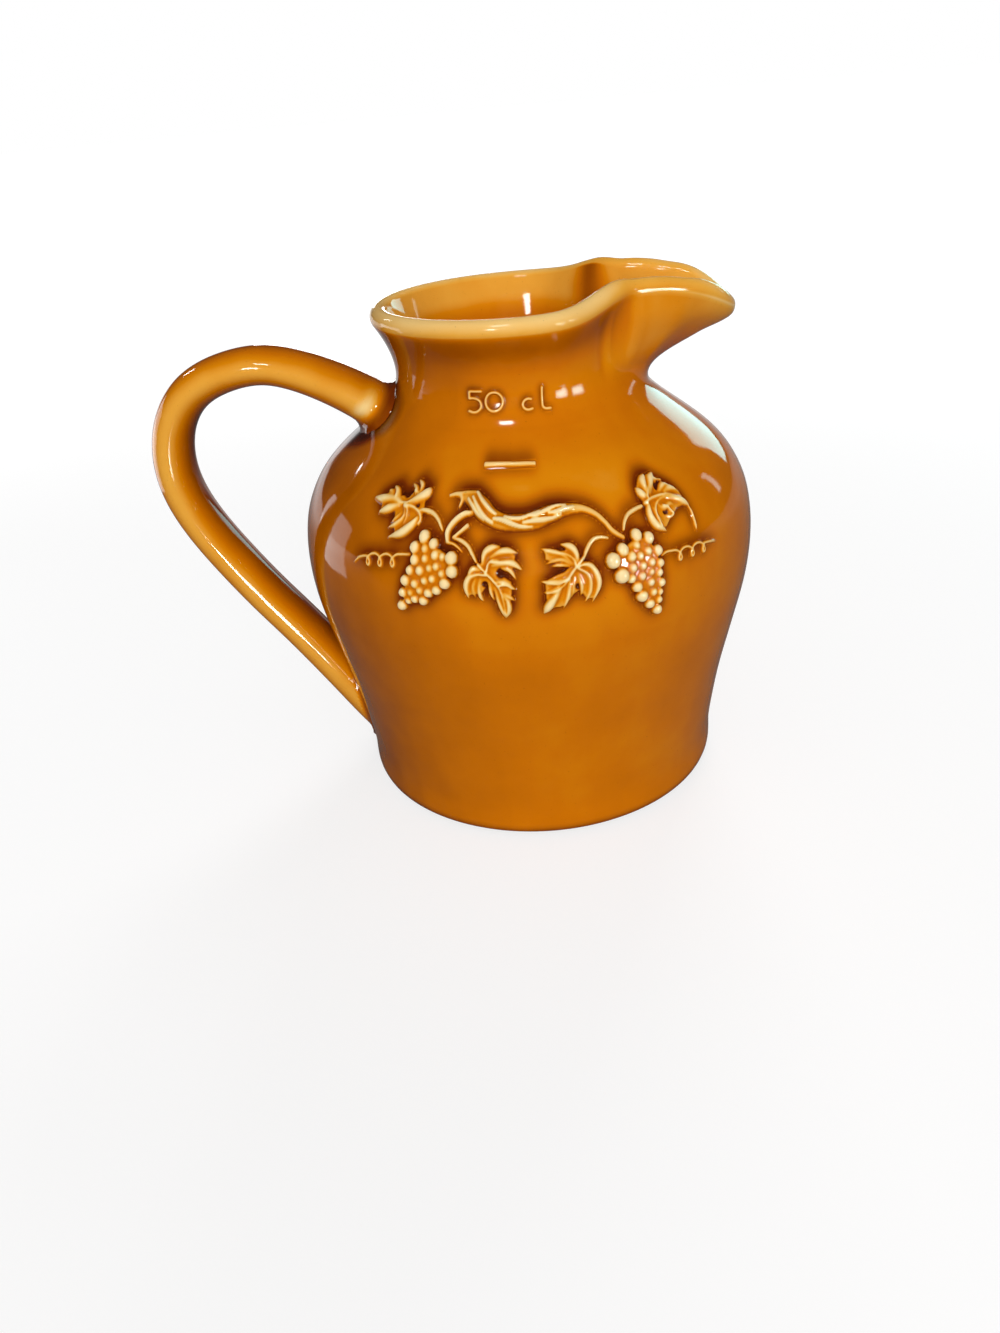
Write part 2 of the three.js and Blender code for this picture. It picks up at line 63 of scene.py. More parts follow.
forward = Vector((-math.sin(turn_left) * math.cos(look_down),
                  math.cos(turn_left) * math.cos(look_down),
                  -math.sin(look_down)))
level_right = Vector((math.cos(turn_left), math.sin(turn_left), 0))
level_up = level_right.cross(forward)
picture_right = math.cos(tilt) * level_right - math.sin(tilt) * level_up
picture_up = math.sin(tilt) * level_right + math.cos(tilt) * level_up


def add_object(name, data):
    thing = bpy.data.objects.new(name, data)
    bpy.context.scene.collection.objects.link(thing)
    return thing


camera = add_object("photo_camera", bpy.data.cameras.new("photo_camera"))
camera.data.sensor_fit = "VERTICAL"
camera.data.sensor_height = film_height_mm
camera.data.lens = film_height_mm * focal_px / photo_height_px
camera.data.clip_start = 0.01
axes = Matrix((picture_right, picture_up, -forward)).transposed().to_4x4()
place = Vector(((eye[0] + body_axis) * MM, eye[1] * MM, eye[2] * MM))
camera.matrix_world = Matrix.Translation(place) @ axes
bpy.context.scene.camera = camera
bpy.context.scene.view_settings.view_transform = "Standard"


# Jug body
# Stoneware, moulded and glazed inside and out. The neck is drawn out on one side
# into a pinched spout, the lip is rolled, and the jug stands on a wiped foot ring.

belly_radius = 52.5
floor_height, foot_depth = 5.2, 1.8
lip_height, lip_radius, lip_roll = 111.3, 28.7, 2.2
lip_flare, waist_flare = 1.9, -2
spout_start = 92.0
# The cheeks, the nose and the crease beside each cheek: where on the lip, along X,
# and at what height they begin and end
cheek_start, cheek_end, cheek_rise = (20, 26), (34, 44), (96, 107)
nose_reach, nose_rise, nose_drop, nose_flare = (37, 46), (103, 109), 0.8, 2.5
crease_place, crease_width, crease_depth = 18, 1.6, 0.35
crease_rise, crease_end = (95, 101), (107, 110.2)

# Outside radius against height, without the spout
body_profile = [
    (0, 42), (0.8, 43.6), (1.8, 44.1), (3.5, 44.2), (8, 44.15), (14, 44.8), (25.5, 46.6),
    (37, 49.1), (48, 51.5), (54, 52.3), (59.6, 52.5), (65.3, 52.05), (71, 50.7), (76.6, 47.8),
    (80, 45), (82.3, 42.4), (85.1, 38.8), (88, 35), (90.8, 31.5), (93.7, 28.8),
    (96.5, 27.15), (99.3, 26.65), (102.2, 27), (105, 27.85), (107.9, 29.2), (110.2, 30.6),
]
top_height = 110.2
# Centre of the rolled lip on the spout's side: along X, half width, height
spout_lip = [
    (6.3, 28, 111.4), (10.5, 26.4, 111.6), (14.7, 22.6, 112.4), (18.9, 18.5, 113.9),
    (23.1, 14.9, 115.2), (29.4, 13.4, 115.2), (35.7, 11.9, 114), (40.5, 9.4, 112),
    (44.2, 5.2, 109.4),
]
spout_tip = (45.9, 0, 107.8)


def follow(places, values, at):
    """Smooth curve through values, one row for each place, read at any places."""
    places, values = np.asarray(places, float), np.asarray(values, float)
    ahead = np.append(np.arange(1, len(places)), len(places) - 1)
    behind = np.insert(np.arange(len(places) - 1), 0, 0)
    span = (places[ahead] - places[behind]).reshape((-1,) + (1,) * (values.ndim - 1))
    slope = (values[ahead] - values[behind]) / span
    at = np.asarray(at, float)
    i = np.clip(np.searchsorted(places, at, side="right") - 1, 0, len(places) - 2)
    shape = at.shape + (1,) * (values.ndim - 1)
    step = (places[i + 1] - places[i]).reshape(shape)
    t = np.clip((at - places[i]).reshape(shape) / step, 0, 1)
    rise = (2 * t**3 - 3 * t**2 + 1) * values[i] + (3 * t**2 - 2 * t**3) * values[i + 1]
    return rise + ((t**3 - 2 * t**2 + t) * slope[i] + (t**3 - t**2) * slope[i + 1]) * step


def sum_up(steps):
    return np.concatenate([[0], np.cumsum(steps)])


def read_rows(at, places, rows):
    return np.stack([np.interp(at, places, column) for column in rows.T], axis=1)


def unit(vectors):
    return vectors / np.linalg.norm(vectors, axis=-1, keepdims=True)


def along_curve(points, spacing):
    """Evenly spaced places on a smooth curve through points; extra columns go along."""
    points = np.asarray(points, float)
    knots = sum_up(np.sqrt(np.linalg.norm(np.diff(points[:, :2], axis=0), axis=1)))
    fine = follow(knots, points, np.linspace(0, knots[-1], 40 * len(points)))
    length = sum_up(np.linalg.norm(np.diff(fine[:, :2], axis=0), axis=1))
    count = max(int(round(length[-1] / spacing)), 2)
    return read_rows(np.linspace(0, length[-1], count + 1), length, fine)


def soften(values, spread, closed=False):
    """Gaussian smoothing along the first axis, with the spread in samples."""
    reach = int(4 * spread)
    weights = np.exp(-0.5 * (np.arange(-reach, reach + 1) / spread) ** 2)
    weights /= weights.sum()
    values = np.asarray(values, float)
    if closed:
        padded = np.concatenate([values[-reach:], values, values[:reach]])
    else:
        padded = np.concatenate([2 * values[0] - values[reach:0:-1], values,
                                 2 * values[-1] - values[-2:-reach - 2:-1]])
    flat = padded.reshape(len(padded), -1)
    smooth = [np.convolve(column, weights, mode="valid") for column in flat.T]
    return np.stack(smooth, axis=1).reshape(values.shape)


def smoothstep(value, low, high):
    t = np.clip((value - low) / (high - low), 0, 1)
    return t * t * (3 - 2 * t)


def hump(value, middle, spread):
    return np.exp(-((value - middle) / spread) ** 2)


# The profile is softened, but not at the foot's edge
fine_heights = np.arange(0, top_height + 0.01, 0.2)
plain_radii = follow(*zip(*body_profile), fine_heights)
softening = soften(plain_radii, spread=7) - plain_radii
fine_radii = plain_radii + softening * smoothstep(fine_heights, 3, 12)
fine_slopes = np.gradient(fine_radii, fine_heights)


def body_radius(z):
    return np.interp(z, fine_heights, fine_radii)


def body_slope(z):
    return np.interp(z, fine_heights, fine_slopes)


def lip_line():
    """The lip's centre line, close together on the front, where the relief lies."""
    # Degrees from the front where it ends, degrees between points there, and spacing
    front_span, front_turn, spacing = (55, 63), 0.66, 0.9
    turns = np.radians(np.arange(-180, -89, 15))
    back = np.stack([lip_radius * np.cos(turns), lip_radius * np.sin(turns),
                     np.full(len(turns), lip_height)], axis=1)
    near = np.array([(x, -half, z) for x, half, z in spout_lip])
    far = np.concatenate([back[1:], near])[::-1] * (1, -1, 1)
    whole = np.concatenate([back, near, [spout_tip], far])
    overlap = 3
    wrapped = np.concatenate([whole[-overlap:], whole, whole[:overlap + 1]])
    knots = sum_up(np.sqrt(np.linalg.norm(np.diff(wrapped, axis=0), axis=1)))
    places = np.linspace(knots[overlap], knots[overlap + len(whole)], 4001)[:-1]
    fine = soften(follow(knots, wrapped, places), spread=45, closed=True)
    steps = np.linalg.norm(np.roll(fine, -1, axis=0) - fine, axis=1)
    bearing = np.degrees(np.arctan2(fine[:, 1], fine[:, 0]))
    turned = np.abs((np.roll(bearing, -1) - bearing + 180) % 360 - 180)
    front = 1 - smoothstep(np.abs(bearing + 90), *front_span)
    total = sum_up(np.maximum(steps / spacing, front * turned / front_turn))
    count = int(round(total[-1]))
    wanted = np.linspace(0, total[-1], count, endpoint=False)
    return read_rows(wanted, total, np.concatenate([fine, fine[:1]]))


def ring_tangents(ring):
    ahead = np.roll(ring, -1, axis=-2) - ring
    behind = ring - np.roll(ring, 1, axis=-2)
    return unit(sum(side / (side**2).sum(-1, keepdims=True) for side in (ahead, behind)))


def outer_rings(lip, heights):
    """Rings of the outside: round low down, drawn out into the spout higher up."""
    z = heights[:, None]
    circle = unit(lip[:, :2]) * lip_radius
    nose = smoothstep(lip[:, 0], *nose_reach)
    cheek = smoothstep(lip[:, 0], *cheek_start) * (1 - smoothstep(lip[:, 0], *cheek_end))
    crease = hump(lip[:, 0], crease_place, crease_width)
    draw = smoothstep(z, spout_start, lip_height - nose_drop * nose)
    x = circle[:, 0] + (lip[:, 0] - circle[:, 0]) * draw
    y = circle[:, 1] + (lip[:, 1] - circle[:, 1]) * draw
    centre = np.stack([x, y, z + (lip[:, 2] - lip_height) * draw], axis=-1)
    along = ring_tangents(centre)
    outward = unit(np.stack([along[..., 1], -along[..., 0]], axis=-1))
    flare = body_radius(z) - lip_radius
    full_cheek = waist_flare + (lip_flare - waist_flare) * smoothstep(z, *cheek_rise)
    blunt_nose = waist_flare + (nose_flare - waist_flare) * smoothstep(z, *nose_rise)
    swell = cheek * np.clip(full_cheek - flare, 0, None)
    swell = swell + nose * np.clip(blunt_nose - flare, 0, None)
    dent = smoothstep(z, *crease_rise) * (1 - smoothstep(z, *crease_end)) * crease_depth * crease
    centre[..., :2] += outward * (flare + swell - dent)[..., None]
    return centre


def round_rings(lip, radii_and_heights):
    return np.stack([np.column_stack([unit(lip[:, :2]) * radius, np.full(len(lip), z)])
                     for radius, z in radii_and_heights])


def skin(start, rings, end):
    """Points and faces of a closed surface through a stack of rings, with a pole at each end."""
    levels, count = rings.shape[:2]
    points = np.concatenate([[start], rings.reshape(-1, 3), [end]])
    ring, i = np.meshgrid(np.arange(levels - 1), np.arange(count), indexing="ij")
    near, beside = 1 + ring * count + i, 1 + ring * count + (i + 1) % count
    quads = np.stack([near, beside, beside + count, near + count], axis=-1).reshape(-1, 4)
    around, after = np.arange(count), np.arange(1, count + 1) % count
    first = np.stack([np.zeros(count, int), 1 + after, 1 + around], axis=1)
    top = 1 + (levels - 1) * count
    last = np.stack([np.full(count, len(points) - 1), top + around, top + after], axis=1)
    return points, first.tolist() + quads.tolist() + last.tolist()


def add_piece(name, points, faces, node, material, sharp_angle=62):
    """A closed, smooth-shaded piece that rides on the jug and stands for its CAD node."""
    mesh = bpy.data.meshes.new(name)
    metres = (np.asarray(points) + (body_axis, 0, 0)) * MM
    mesh.from_pydata(metres.tolist(), [], faces)
    mesh.polygons.foreach_set("use_smooth", [True] * len(mesh.polygons))
    mesh.set_sharp_from_angle(angle=math.radians(sharp_angle))
    mesh.materials.append(material)
    piece = add_object(name, mesh)
    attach(piece, "root")
    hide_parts(node)
    return piece


def paint(red, green, blue):
    """A colour given as screen values from 0 to 255."""
    return tuple((c / 255) ** 2.2 for c in (red, green, blue)) + (1,)


class Nodes:
    """A node tree with short ways to add to it; inputs are sockets or plain values."""

    def __init__(self, tree):
        self.nodes, self.links = tree.nodes, tree.links

    def fill(self, node, inputs):
        for key, value in inputs.items():
            if isinstance(value, bpy.types.NodeSocket):
                self.links.new(value, node.inputs[key])
            else:
                node.inputs[key].default_value = value

    def add(self, kind, inputs=None, **settings):
        node = self.nodes.new("ShaderNode" + kind)
        for name, value in settings.items():
            setattr(node, name, value)
        self.fill(node, inputs or {})
        return node.outputs

    def calc(self, operation, result, *others):
        for value in others:
            result = self.add("Math", {0: result, 1: value}, operation=operation)[0]
        return result

    def noise(self, vector, scale, detail):
        return self.add("TexNoise", {"Vector": vector, "Scale": scale, "Detail": detail})["Fac"]

    def mix(self, kind, share, first, second):
        inputs = {"Factor": share, "A": first, "B": second}
        return self.add("Mix", inputs, data_type=kind)["Result"]

    def remap(self, value, start, end, low=0, high=1, shape="LINEAR"):
        inputs = {"Value": value, "From Min": start, "From Max": end, "To Min": low, "To Max": high}
        return self.add("MapRange", inputs, interpolation_type=shape)["Result"]


def glaze_group():
    """Depth of glaze to colour: thin over crests it is cream, pooled it is dark brown."""
    group = bpy.data.node_groups.new("glaze_depth", "ShaderNodeTree")
    for name, flow, kind in (("Depth", "INPUT", "Float"), ("Mottle", "INPUT", "Float"),
                             ("Streaks", "INPUT", "Float"), ("Colour", "OUTPUT", "Color"),
                             ("Roughness", "OUTPUT", "Float"), ("Height", "OUTPUT", "Float")):
        group.interface.new_socket(name, in_out=flow, socket_type="NodeSocket" + kind)
    given, result = group.nodes.new("NodeGroupInput").outputs, group.nodes.new("NodeGroupOutput")
    tree = Nodes(group)
    calc, where = tree.calc, tree.add("TexCoord")["Object"]

    run_length, speck_limit, speck_strength = 0.22, 0.27, 0.35
    polish, haze_strength, grain_height = 0.045, 0.05, 0.03
    stretched = tree.add("Mapping", {"Scale": (1, 1, run_length), "Vector": where})["Vector"]
    clouds = calc("SUBTRACT", tree.noise(where, scale=70, detail=6), 0.5)
    runs = calc("SUBTRACT", tree.noise(stretched, scale=130, detail=3), 0.5)
    change = calc("ADD", calc("MULTIPLY", clouds, given["Mottle"]),
                  calc("MULTIPLY", runs, given["Streaks"]))
    depth = calc("MULTIPLY", given["Depth"], calc("ADD", calc("MULTIPLY", change, 2), 1))

    ramp = group.nodes.new("ShaderNodeValToRGB")
    stops = [
        (0.0, paint(252, 236, 198)), (0.25, paint(246, 212, 142)), (0.5, paint(234, 168, 66)),
        (0.75, paint(218, 131, 12)), (1.0, paint(204, 112, 0)), (1.5, paint(164, 86, 0)),
        (2.2, paint(120, 50, 3)), (3.2, paint(74, 28, 6)),
    ]
    deepest = stops[-1][0]
    elements = ramp.color_ramp.elements
    while len(elements) < len(stops):
        elements.new(0.5)
    for element, (position, colour) in zip(elements, stops):
        element.position = position / deepest
        element.color = colour
    tree.fill(ramp, {"Fac": calc("DIVIDE", depth, deepest)})

    specks = calc("LESS_THAN", tree.noise(where, scale=2600, detail=2), speck_limit)
    haze = calc("MULTIPLY", tree.noise(where, scale=300, detail=3), haze_strength)
    ripple = tree.noise(where, scale=95, detail=1)
    grain = calc("MULTIPLY", tree.noise(where, scale=900, detail=2), grain_height)
    colour = tree.mix("RGBA", calc("MULTIPLY", specks, speck_strength), ramp.outputs["Color"],
                      paint(96, 44, 10))
    tree.fill(result, {"Colour": colour, "Roughness": calc("ADD", haze, polish),
                       "Height": calc("ADD", ripple, grain)})
    return group


def new_glaze(name, group, mottle, streaks, ripple, biscuit=False):
    """Glossy glaze whose depth is read from the piece; the foot may be bare biscuit."""
    material = bpy.data.materials.new(name)
    material.use_nodes = True
    tree = Nodes(material.node_tree)
    depth = tree.add("Attribute", attribute_name="glaze")["Fac"]
    glaze = tree.add("Group", {0: depth, 1: mottle, 2: streaks}, node_tree=group)
    bump = tree.add("Bump", {"Strength": ripple, "Distance": 0.6 * MM, "Height": glaze["Height"]})
    colour, roughness = glaze["Colour"], glaze["Roughness"]
    if biscuit:
        bare = tree.add("Attribute", attribute_name="bare")["Fac"]
        colour = tree.mix("RGBA", bare, colour, paint(226, 205, 170))
        roughness = tree.mix("FLOAT", bare, roughness, 0.85)
    tree.fill(tree.nodes["Principled BSDF"], {
        "IOR": 1.5, "Specular IOR Level": 0.25, "Specular Tint": (0.88, 1, 0.96, 1),
        "Base Color": colour, "Roughness": roughness, "Normal": bump["Normal"],
    })
    return material


# The rings are closest together where the relief lies
lip = lip_line()
columns = len(lip)
heights = np.concatenate([
    [0.6, 1.1, 1.7, 2.4, 3.2, 4.2, 5.4, 6.7], np.arange(8, 56, 1.3), np.arange(56, 101, 0.55),
    np.arange(101.1, 110, 0.62), [top_height],
])
outside = outer_rings(lip, heights)
wall_normals = unit(np.cross(ring_tangents(outside), np.gradient(outside, axis=0)))

edge, edge_out = outside[-1], wall_normals[-1]
edge_over = -np.cross(ring_tangents(edge), edge_out)
lip_turns = np.radians(np.arange(12, 179, 12))
lip_rings = np.stack([
    edge + lip_roll * ((math.cos(turn) - 1) * edge_out + math.sin(turn) * edge_over)
    for turn in lip_turns
])

# Inside, the wall starts above a rounded corner and has half as many rings up to the neck
wall, lip_wall, thicker_from = 3.7, 4.4, 104
corner_top, neck_start = 14, 88
inner = [k for k in range(len(heights) - 1, 0, -1)
         if heights[k] > corner_top and (heights[k] > neck_start or k % 2 == 0)]
inner_walls = wall + (lip_wall - wall) * smoothstep(heights[inner], thicker_from, lip_height)
inside = outside[inner] - wall_normals[inner] * inner_walls[:, None, None]

corner = heights[inner[-1]] - floor_height
corner_centre = body_radius(heights[inner[-1]]) - wall - corner
bottom = [(corner_centre + corner * math.cos(t), floor_height + corner * (1 - math.sin(t)))
          for t in np.radians(np.arange(10, 91, 10))]
bottom += [(radius, floor_height) for radius in (27, 21, 15, 9, 4)]
# Recess and standing ring, as radius and height
foot = [(radius, foot_depth) for radius in (8, 16, 24, 31.4)]
foot += [(32.6, 1.65), (33.4, 1.1), (33.9, 0.4), (34.5, 0.08), (35.2, 0), (40.9, 0), (41.8, 0.1),
         (42.5, 0.32)]
foot_rings, bottom_rings = round_rings(lip, foot), round_rings(lip, bottom)

body_rings = np.concatenate([foot_rings, outside, lip_rings, inside, bottom_rings])
body_points, body_faces = skin((0, 0, foot_depth), body_rings, (0, 0, floor_height))

glaze_depth = glaze_group()
amber = new_glaze("amber_glaze", glaze_depth, mottle=0.2, streaks=0.08, ripple=0.25, biscuit=True)
jug_body = add_piece("thrown_body", body_points, body_faces, "jug_body", amber)


# Handle
# A pulled strap of the same clay, oval in section, luted to the shoulder and to
# the foot of the belly while leather hard, with the joints smoothed by a finger.

handle_line = [
    (-24, 86.2), (-30, 90.2), (-38.5, 95.9), (-48.2, 100.6), (-57, 102.8), (-67, 101.2),
    (-74.2, 97.5), (-79.1, 90.8), (-81.1, 82.6), (-80.5, 75.2), (-78, 68), (-73.8, 60),
    (-66.6, 48.5), (-58.4, 36.9), (-50.5, 25), (-43, 13.5), (-37, 5.5),
]
# Half thickness and half width at each share of the length
handle_section = [(0, 5.6, 8.6), (0.1, 4.8, 7.8), (0.22, 4.2, 7), (0.5, 4.75, 6.8),
                  (0.8, 5.1, 7.2), (1, 5.4, 8.4)]
# The ends are sunk this deep, and what lies deeper than the joint is drawn out again
end_depth, ring_spacing, ring_points = 7, 0.9, 56
neck_fillet, foot_fillet, fillet_change = 3.2, 1.2, (30, 70)
joint_depth, joint_spread, joint_ease = 1.5, 0.9, 5


def off_body(points):
    """Distance of points out from the round body, and the direction out."""
    across = np.linalg.norm(points[..., :2], axis=-1)
    slope = body_slope(points[..., 2])
    scale = np.sqrt(1 + slope**2)
    out = np.concatenate([points[..., :2] / across[..., None] / scale[..., None],
                          (-slope / scale)[..., None]], axis=-1)
    return (across - body_radius(points[..., 2])) / scale, out


route = soften(along_curve(handle_line, ring_spacing), spread=3)
centres = np.column_stack([route[:, 0], np.zeros(len(route)), route[:, 1]])
kept = np.flatnonzero(off_body(centres)[0] > -end_depth)
route_share = np.linspace(0, 1, len(route))[kept]
ahead = unit(np.gradient(centres, axis=0)[kept])
centres = centres[kept]
strap_out = np.column_stack([-ahead[:, 2], np.zeros(len(ahead)), ahead[:, 0]])
shares, *section = zip(*handle_section)
half_thick, half_wide = (follow(shares, half, route_share) for half in section)
strap_turns = np.linspace(0, 2 * math.pi, ring_points, endpoint=False)
sideways = np.array((0, 1, 0))
spokes = (half_thick[:, None, None] * np.cos(strap_turns)[:, None] * strap_out[:, None, :]
          + half_wide[:, None, None] * np.sin(strap_turns)[:, None] * sideways)
strap = centres[:, None, :] + spokes
fillet = foot_fillet + (neck_fillet - foot_fillet) * smoothstep(strap[..., 2], *fillet_change)
swell = np.clip(fillet - off_body(strap)[0], 0, fillet)
swell = fillet - np.sqrt(fillet**2 - swell**2)
strap += unit(spokes) * swell[..., None]
away, out = off_body(strap)
sunk = np.clip(-away - joint_depth, 0, None)
strap += out * (sunk - joint_spread * np.tanh(sunk / joint_ease))[..., None]
handle_points, handle_faces = skin(strap[0].mean(axis=0), strap, strap[-1].mean(axis=0))
handle = add_piece("pulled_handle", handle_points, handle_faces, "handle", amber)


# Vine branch and twig
# The grapevine is sprigged on in low relief. Each sprig is drawn as strokes on a
# flat canvas that wraps round the front of the body. The branch is gnarled, with
# long ridges of bark, forks at its left end and thins to a shoot on the right.

stroke_step, thinnest = 0.09, 0.1
edge_softness, edge_sink, lowest_edge = 0.17, 0.06, 0.006
sprig_back = -0.6


def quarters(grid):
    """The four cells round each inner corner of a grid."""
    return grid[:-1, :-1], grid[:-1, 1:], grid[1:, :-1], grid[1:, 1:]


class Canvas:
    """A grid of relief heights wrapped round the front of the body, arc length by height."""

    def __init__(self, left, right, low, high, cell, radius):
        self.left, self.low, self.cell, self.radius = left, low, cell, radius
        self.across = np.arange(left, right, cell)
        self.up = np.arange(low, high, cell)

    def blank(self):
        return np.zeros((len(self.up), len(self.across)))

    def dab(self, field, x, z, reach, dome):
        """Raises a round spot: dome gives its height at each share of the reach."""
        i, j = (slice(max(int((at - reach) / self.cell), 0), int((at + reach) / self.cell) + 2)
                for at in (x - self.left, z - self.low))
        off = np.hypot(self.across[i][None, :] - x, self.up[j][:, None] - z) / reach
        raised = np.where(off < 1, dome(np.minimum(off, 1)), 0)
        field[j, i] = np.maximum(field[j, i], raised)

    def stroke(self, field, points, height):
        """A rounded bead along (arc, height, half width) points, lower where it is thinner."""
        points = np.asarray(points, float)
        widest = points[:, 2].max()
        for x, z, half in along_curve(points, stroke_step):
            half = max(half, thinnest)
            top = height * math.sqrt(half / widest)
            self.dab(field, x, z, half, lambda off: top * np.sqrt(1 - off**2))

    def drawn(self, *strokes):
        """A field with strokes on it, each given by its points and its height."""
        field = self.blank()
        for points, height in strokes:
            self.stroke(field, points, height)
        return field

    def blur(self, field, spread):
        rows = np.fft.fftfreq(field.shape[0], self.cell)[:, None]
        cols = np.fft.rfftfreq(field.shape[1], self.cell)[None, :]
        gain = np.exp(-2 * (math.pi * spread) ** 2 * (rows**2 + cols**2))
        return np.fft.irfft2(np.fft.rfft2(field) * gain, field.shape)

    def read(self, field, arc, z):
        """Heights at any places, and 0 beyond the edge."""
        x, y = (arc - self.left) / self.cell, (z - self.low) / self.cell
        inside = (x >= 0) & (y >= 0) & (x < field.shape[1] - 1) & (y < field.shape[0] - 1)
        x, y = np.where(inside, x, 0), np.where(inside, y, 0)
        i, j = x.astype(int), y.astype(int)
        u, v = x - i, y - j
        low = field[j, i] * (1 - u) + field[j, i + 1] * u
        high = field[j + 1, i] * (1 - u) + field[j + 1, i + 1] * u
        return np.where(inside, low * (1 - v) + high * v, 0)

    def on_body(self, arc, z, out):
        angle = arc / self.radius
        slope = body_slope(z)
        scale = out / np.sqrt(1 + slope**2)
        radius = body_radius(z) + scale
        return np.stack([radius * np.sin(angle), -radius * np.cos(angle), z - slope * scale], -1)

    def solid(self, field):
        """Closed mesh of the raised part of a field, with its back inside the wall.

        Where cells meet only at a corner, the cells round that corner are filled."""
        raised = self.blur(field, edge_softness) - edge_sink
        keep = raised > lowest_edge - edge_sink
        cells = np.logical_and.reduce(quarters(keep))
        a, b, c, d = quarters(cells)
        for j, i in zip(*np.nonzero((a == d) & (b == c) & (a != b))):
            cells[j:j + 2, i:i + 2] = True
        j, i = np.nonzero(cells)
        width = keep.shape[1]
        near, far = j * width + i, (j + 1) * width + i
        corners = np.stack([near, near + 1, far + 1, far], axis=1)
        used, quads = np.unique(corners, return_inverse=True)
        quads = quads.reshape(-1, 4)
        z, arc = self.up[used // width], self.across[used % width]
        front = self.on_body(arc, z, np.maximum(raised.flat[used], -edge_sink))
        back = self.on_body(arc, z, np.full(len(used), sprig_back))
        sides = np.stack([quads, np.roll(quads, -1, axis=1)], axis=-1).reshape(-1, 2)
        key = np.sort(sides, axis=1) @ (len(used), 1)
        _, first, count = np.unique(key, return_index=True, return_counts=True)
        rim = sides[first[count == 1]]
        behind = len(used)
        walls = np.stack([rim[:, 1], rim[:, 0], rim[:, 0] + behind, rim[:, 1] + behind], axis=1)
        faces = np.concatenate([quads, quads[:, ::-1] + behind, walls])
        return np.concatenate([front, back]), faces.tolist(), arc, z


vine = Canvas(left=-46, right=50, low=54, high=92, cell=0.15, radius=belly_radius)
relief = new_glaze("relief_glaze", glaze_depth, mottle=0.1, streaks=0.05, ripple=0.2)
sprigs = []


def add_sprig(name, field):
    """Makes one sprig of the vine and keeps what its glaze is worked out from."""
    points, faces, arc, z = vine.solid(field)
    piece = add_piece(name + "_sprig", points, faces, name, relief)
    sprigs.append((field, piece, arc, z))


# Every stroke is a row of (arc, height, half width) points
branch_line = [
    (-15.2, 82.7, 0.5), (-13.6, 82.4, 0.95), (-12, 81.9, 1.5), (-10, 81, 1.75), (-8, 79.9, 1.5),
    (-6, 79.2, 1.35), (-4, 78.9, 1.3), (-1, 78.8, 1.35), (2.2, 79.1, 1.45), (5.5, 79.8, 1.3),
    (9, 80.1, 0.95), (12.5, 79.9, 0.68), (15.2, 78.8, 0.62), (16.9, 77.2, 0.62),
    (17.8, 75.9, 0.6), (18.9, 74.9, 0.58), (20.1, 74.1, 0.5),
]
branch_prong = [(-18.9, 82.8, 0.3), (-17.3, 83.05, 0.4), (-16, 82.9, 0.5), (-15.4, 82.2, 0.5),
                (-15.8, 81.3, 0.35)]
branch_brow = [(-16.4, 83.2, 0.3), (-14, 83.3, 0.35), (-11.8, 83.2, 0.4), (-10.6, 82.7, 0.35)]
bark_ridges = [
    [(-12.6, 82.5, 0.25), (-10.9, 80.9, 0.42), (-9.2, 79.5, 0.42), (-7.6, 78.8, 0.25)],
    [(-11.6, 83.2, 0.3), (-10.2, 82, 0.42), (-8.4, 80.8, 0.42), (-6.8, 80, 0.22)],
    [(-13.8, 82.3, 0.2), (-12.4, 81.2, 0.4), (-11, 80, 0.35), (-9.6, 79.2, 0.2)],
    [(-7.4, 79.4, 0.2), (-5.6, 79.2, 0.4), (-3.6, 78.6, 0.4), (-1.2, 78, 0.3), (1, 77.9, 0.2)],
    [(-5, 79.7, 0.2), (-3, 79.3, 0.38), (-1, 79.3, 0.36), (1.4, 79.8, 0.3), (3, 80.2, 0.2)],
    [(-1, 78.6, 0.2), (1.2, 78.7, 0.4), (3.6, 78.8, 0.4), (5.8, 78.9, 0.3), (7.6, 79.2, 0.2)],
    [(0.2, 79.5, 0.2), (2, 79.5, 0.4), (4.4, 80.1, 0.4), (6.8, 80.6, 0.3), (9, 80.6, 0.2)],
    [(4.8, 79.6, 0.2), (6.6, 79.7, 0.38), (8.6, 80, 0.34), (10.6, 80.2, 0.2)],
]
bark_height, wood_under_bark, bark_from = 0.85, 0.58, 0.4
branch = vine.drawn((branch_line, 1.75), (branch_prong, 1.3), (branch_brow, 1.35))
bark = vine.drawn(*[(ridge, bark_height) for ridge in bark_ridges])
add_sprig("vine_branch", np.where(branch > bark_from, branch * wood_under_bark + bark, branch))

twig_line = [(-12.4, 80.4, 0.4), (-14.2, 80.2, 0.55), (-15.8, 79.4, 0.62), (-17, 78.3, 0.66),
             (-17.5, 77.2, 0.68), (-17.3, 76, 0.5)]
twig_bud = [(-17.6, 75.7, 0.24), (-16.2, 75.6, 0.3), (-14.9, 75, 0.28), (-13.9, 74.2, 0.16)]
twig_spur = [(-16.2, 76.6, 0.3), (-15.3, 77.1, 0.36), (-13.2, 78.5, 0.42)]
add_sprig("left_twig", vine.drawn((twig_line, 1.35), (twig_bud, 0.8), (twig_spur, 1.05)))


# Stems
# Four thin stalks that carry the leaves.

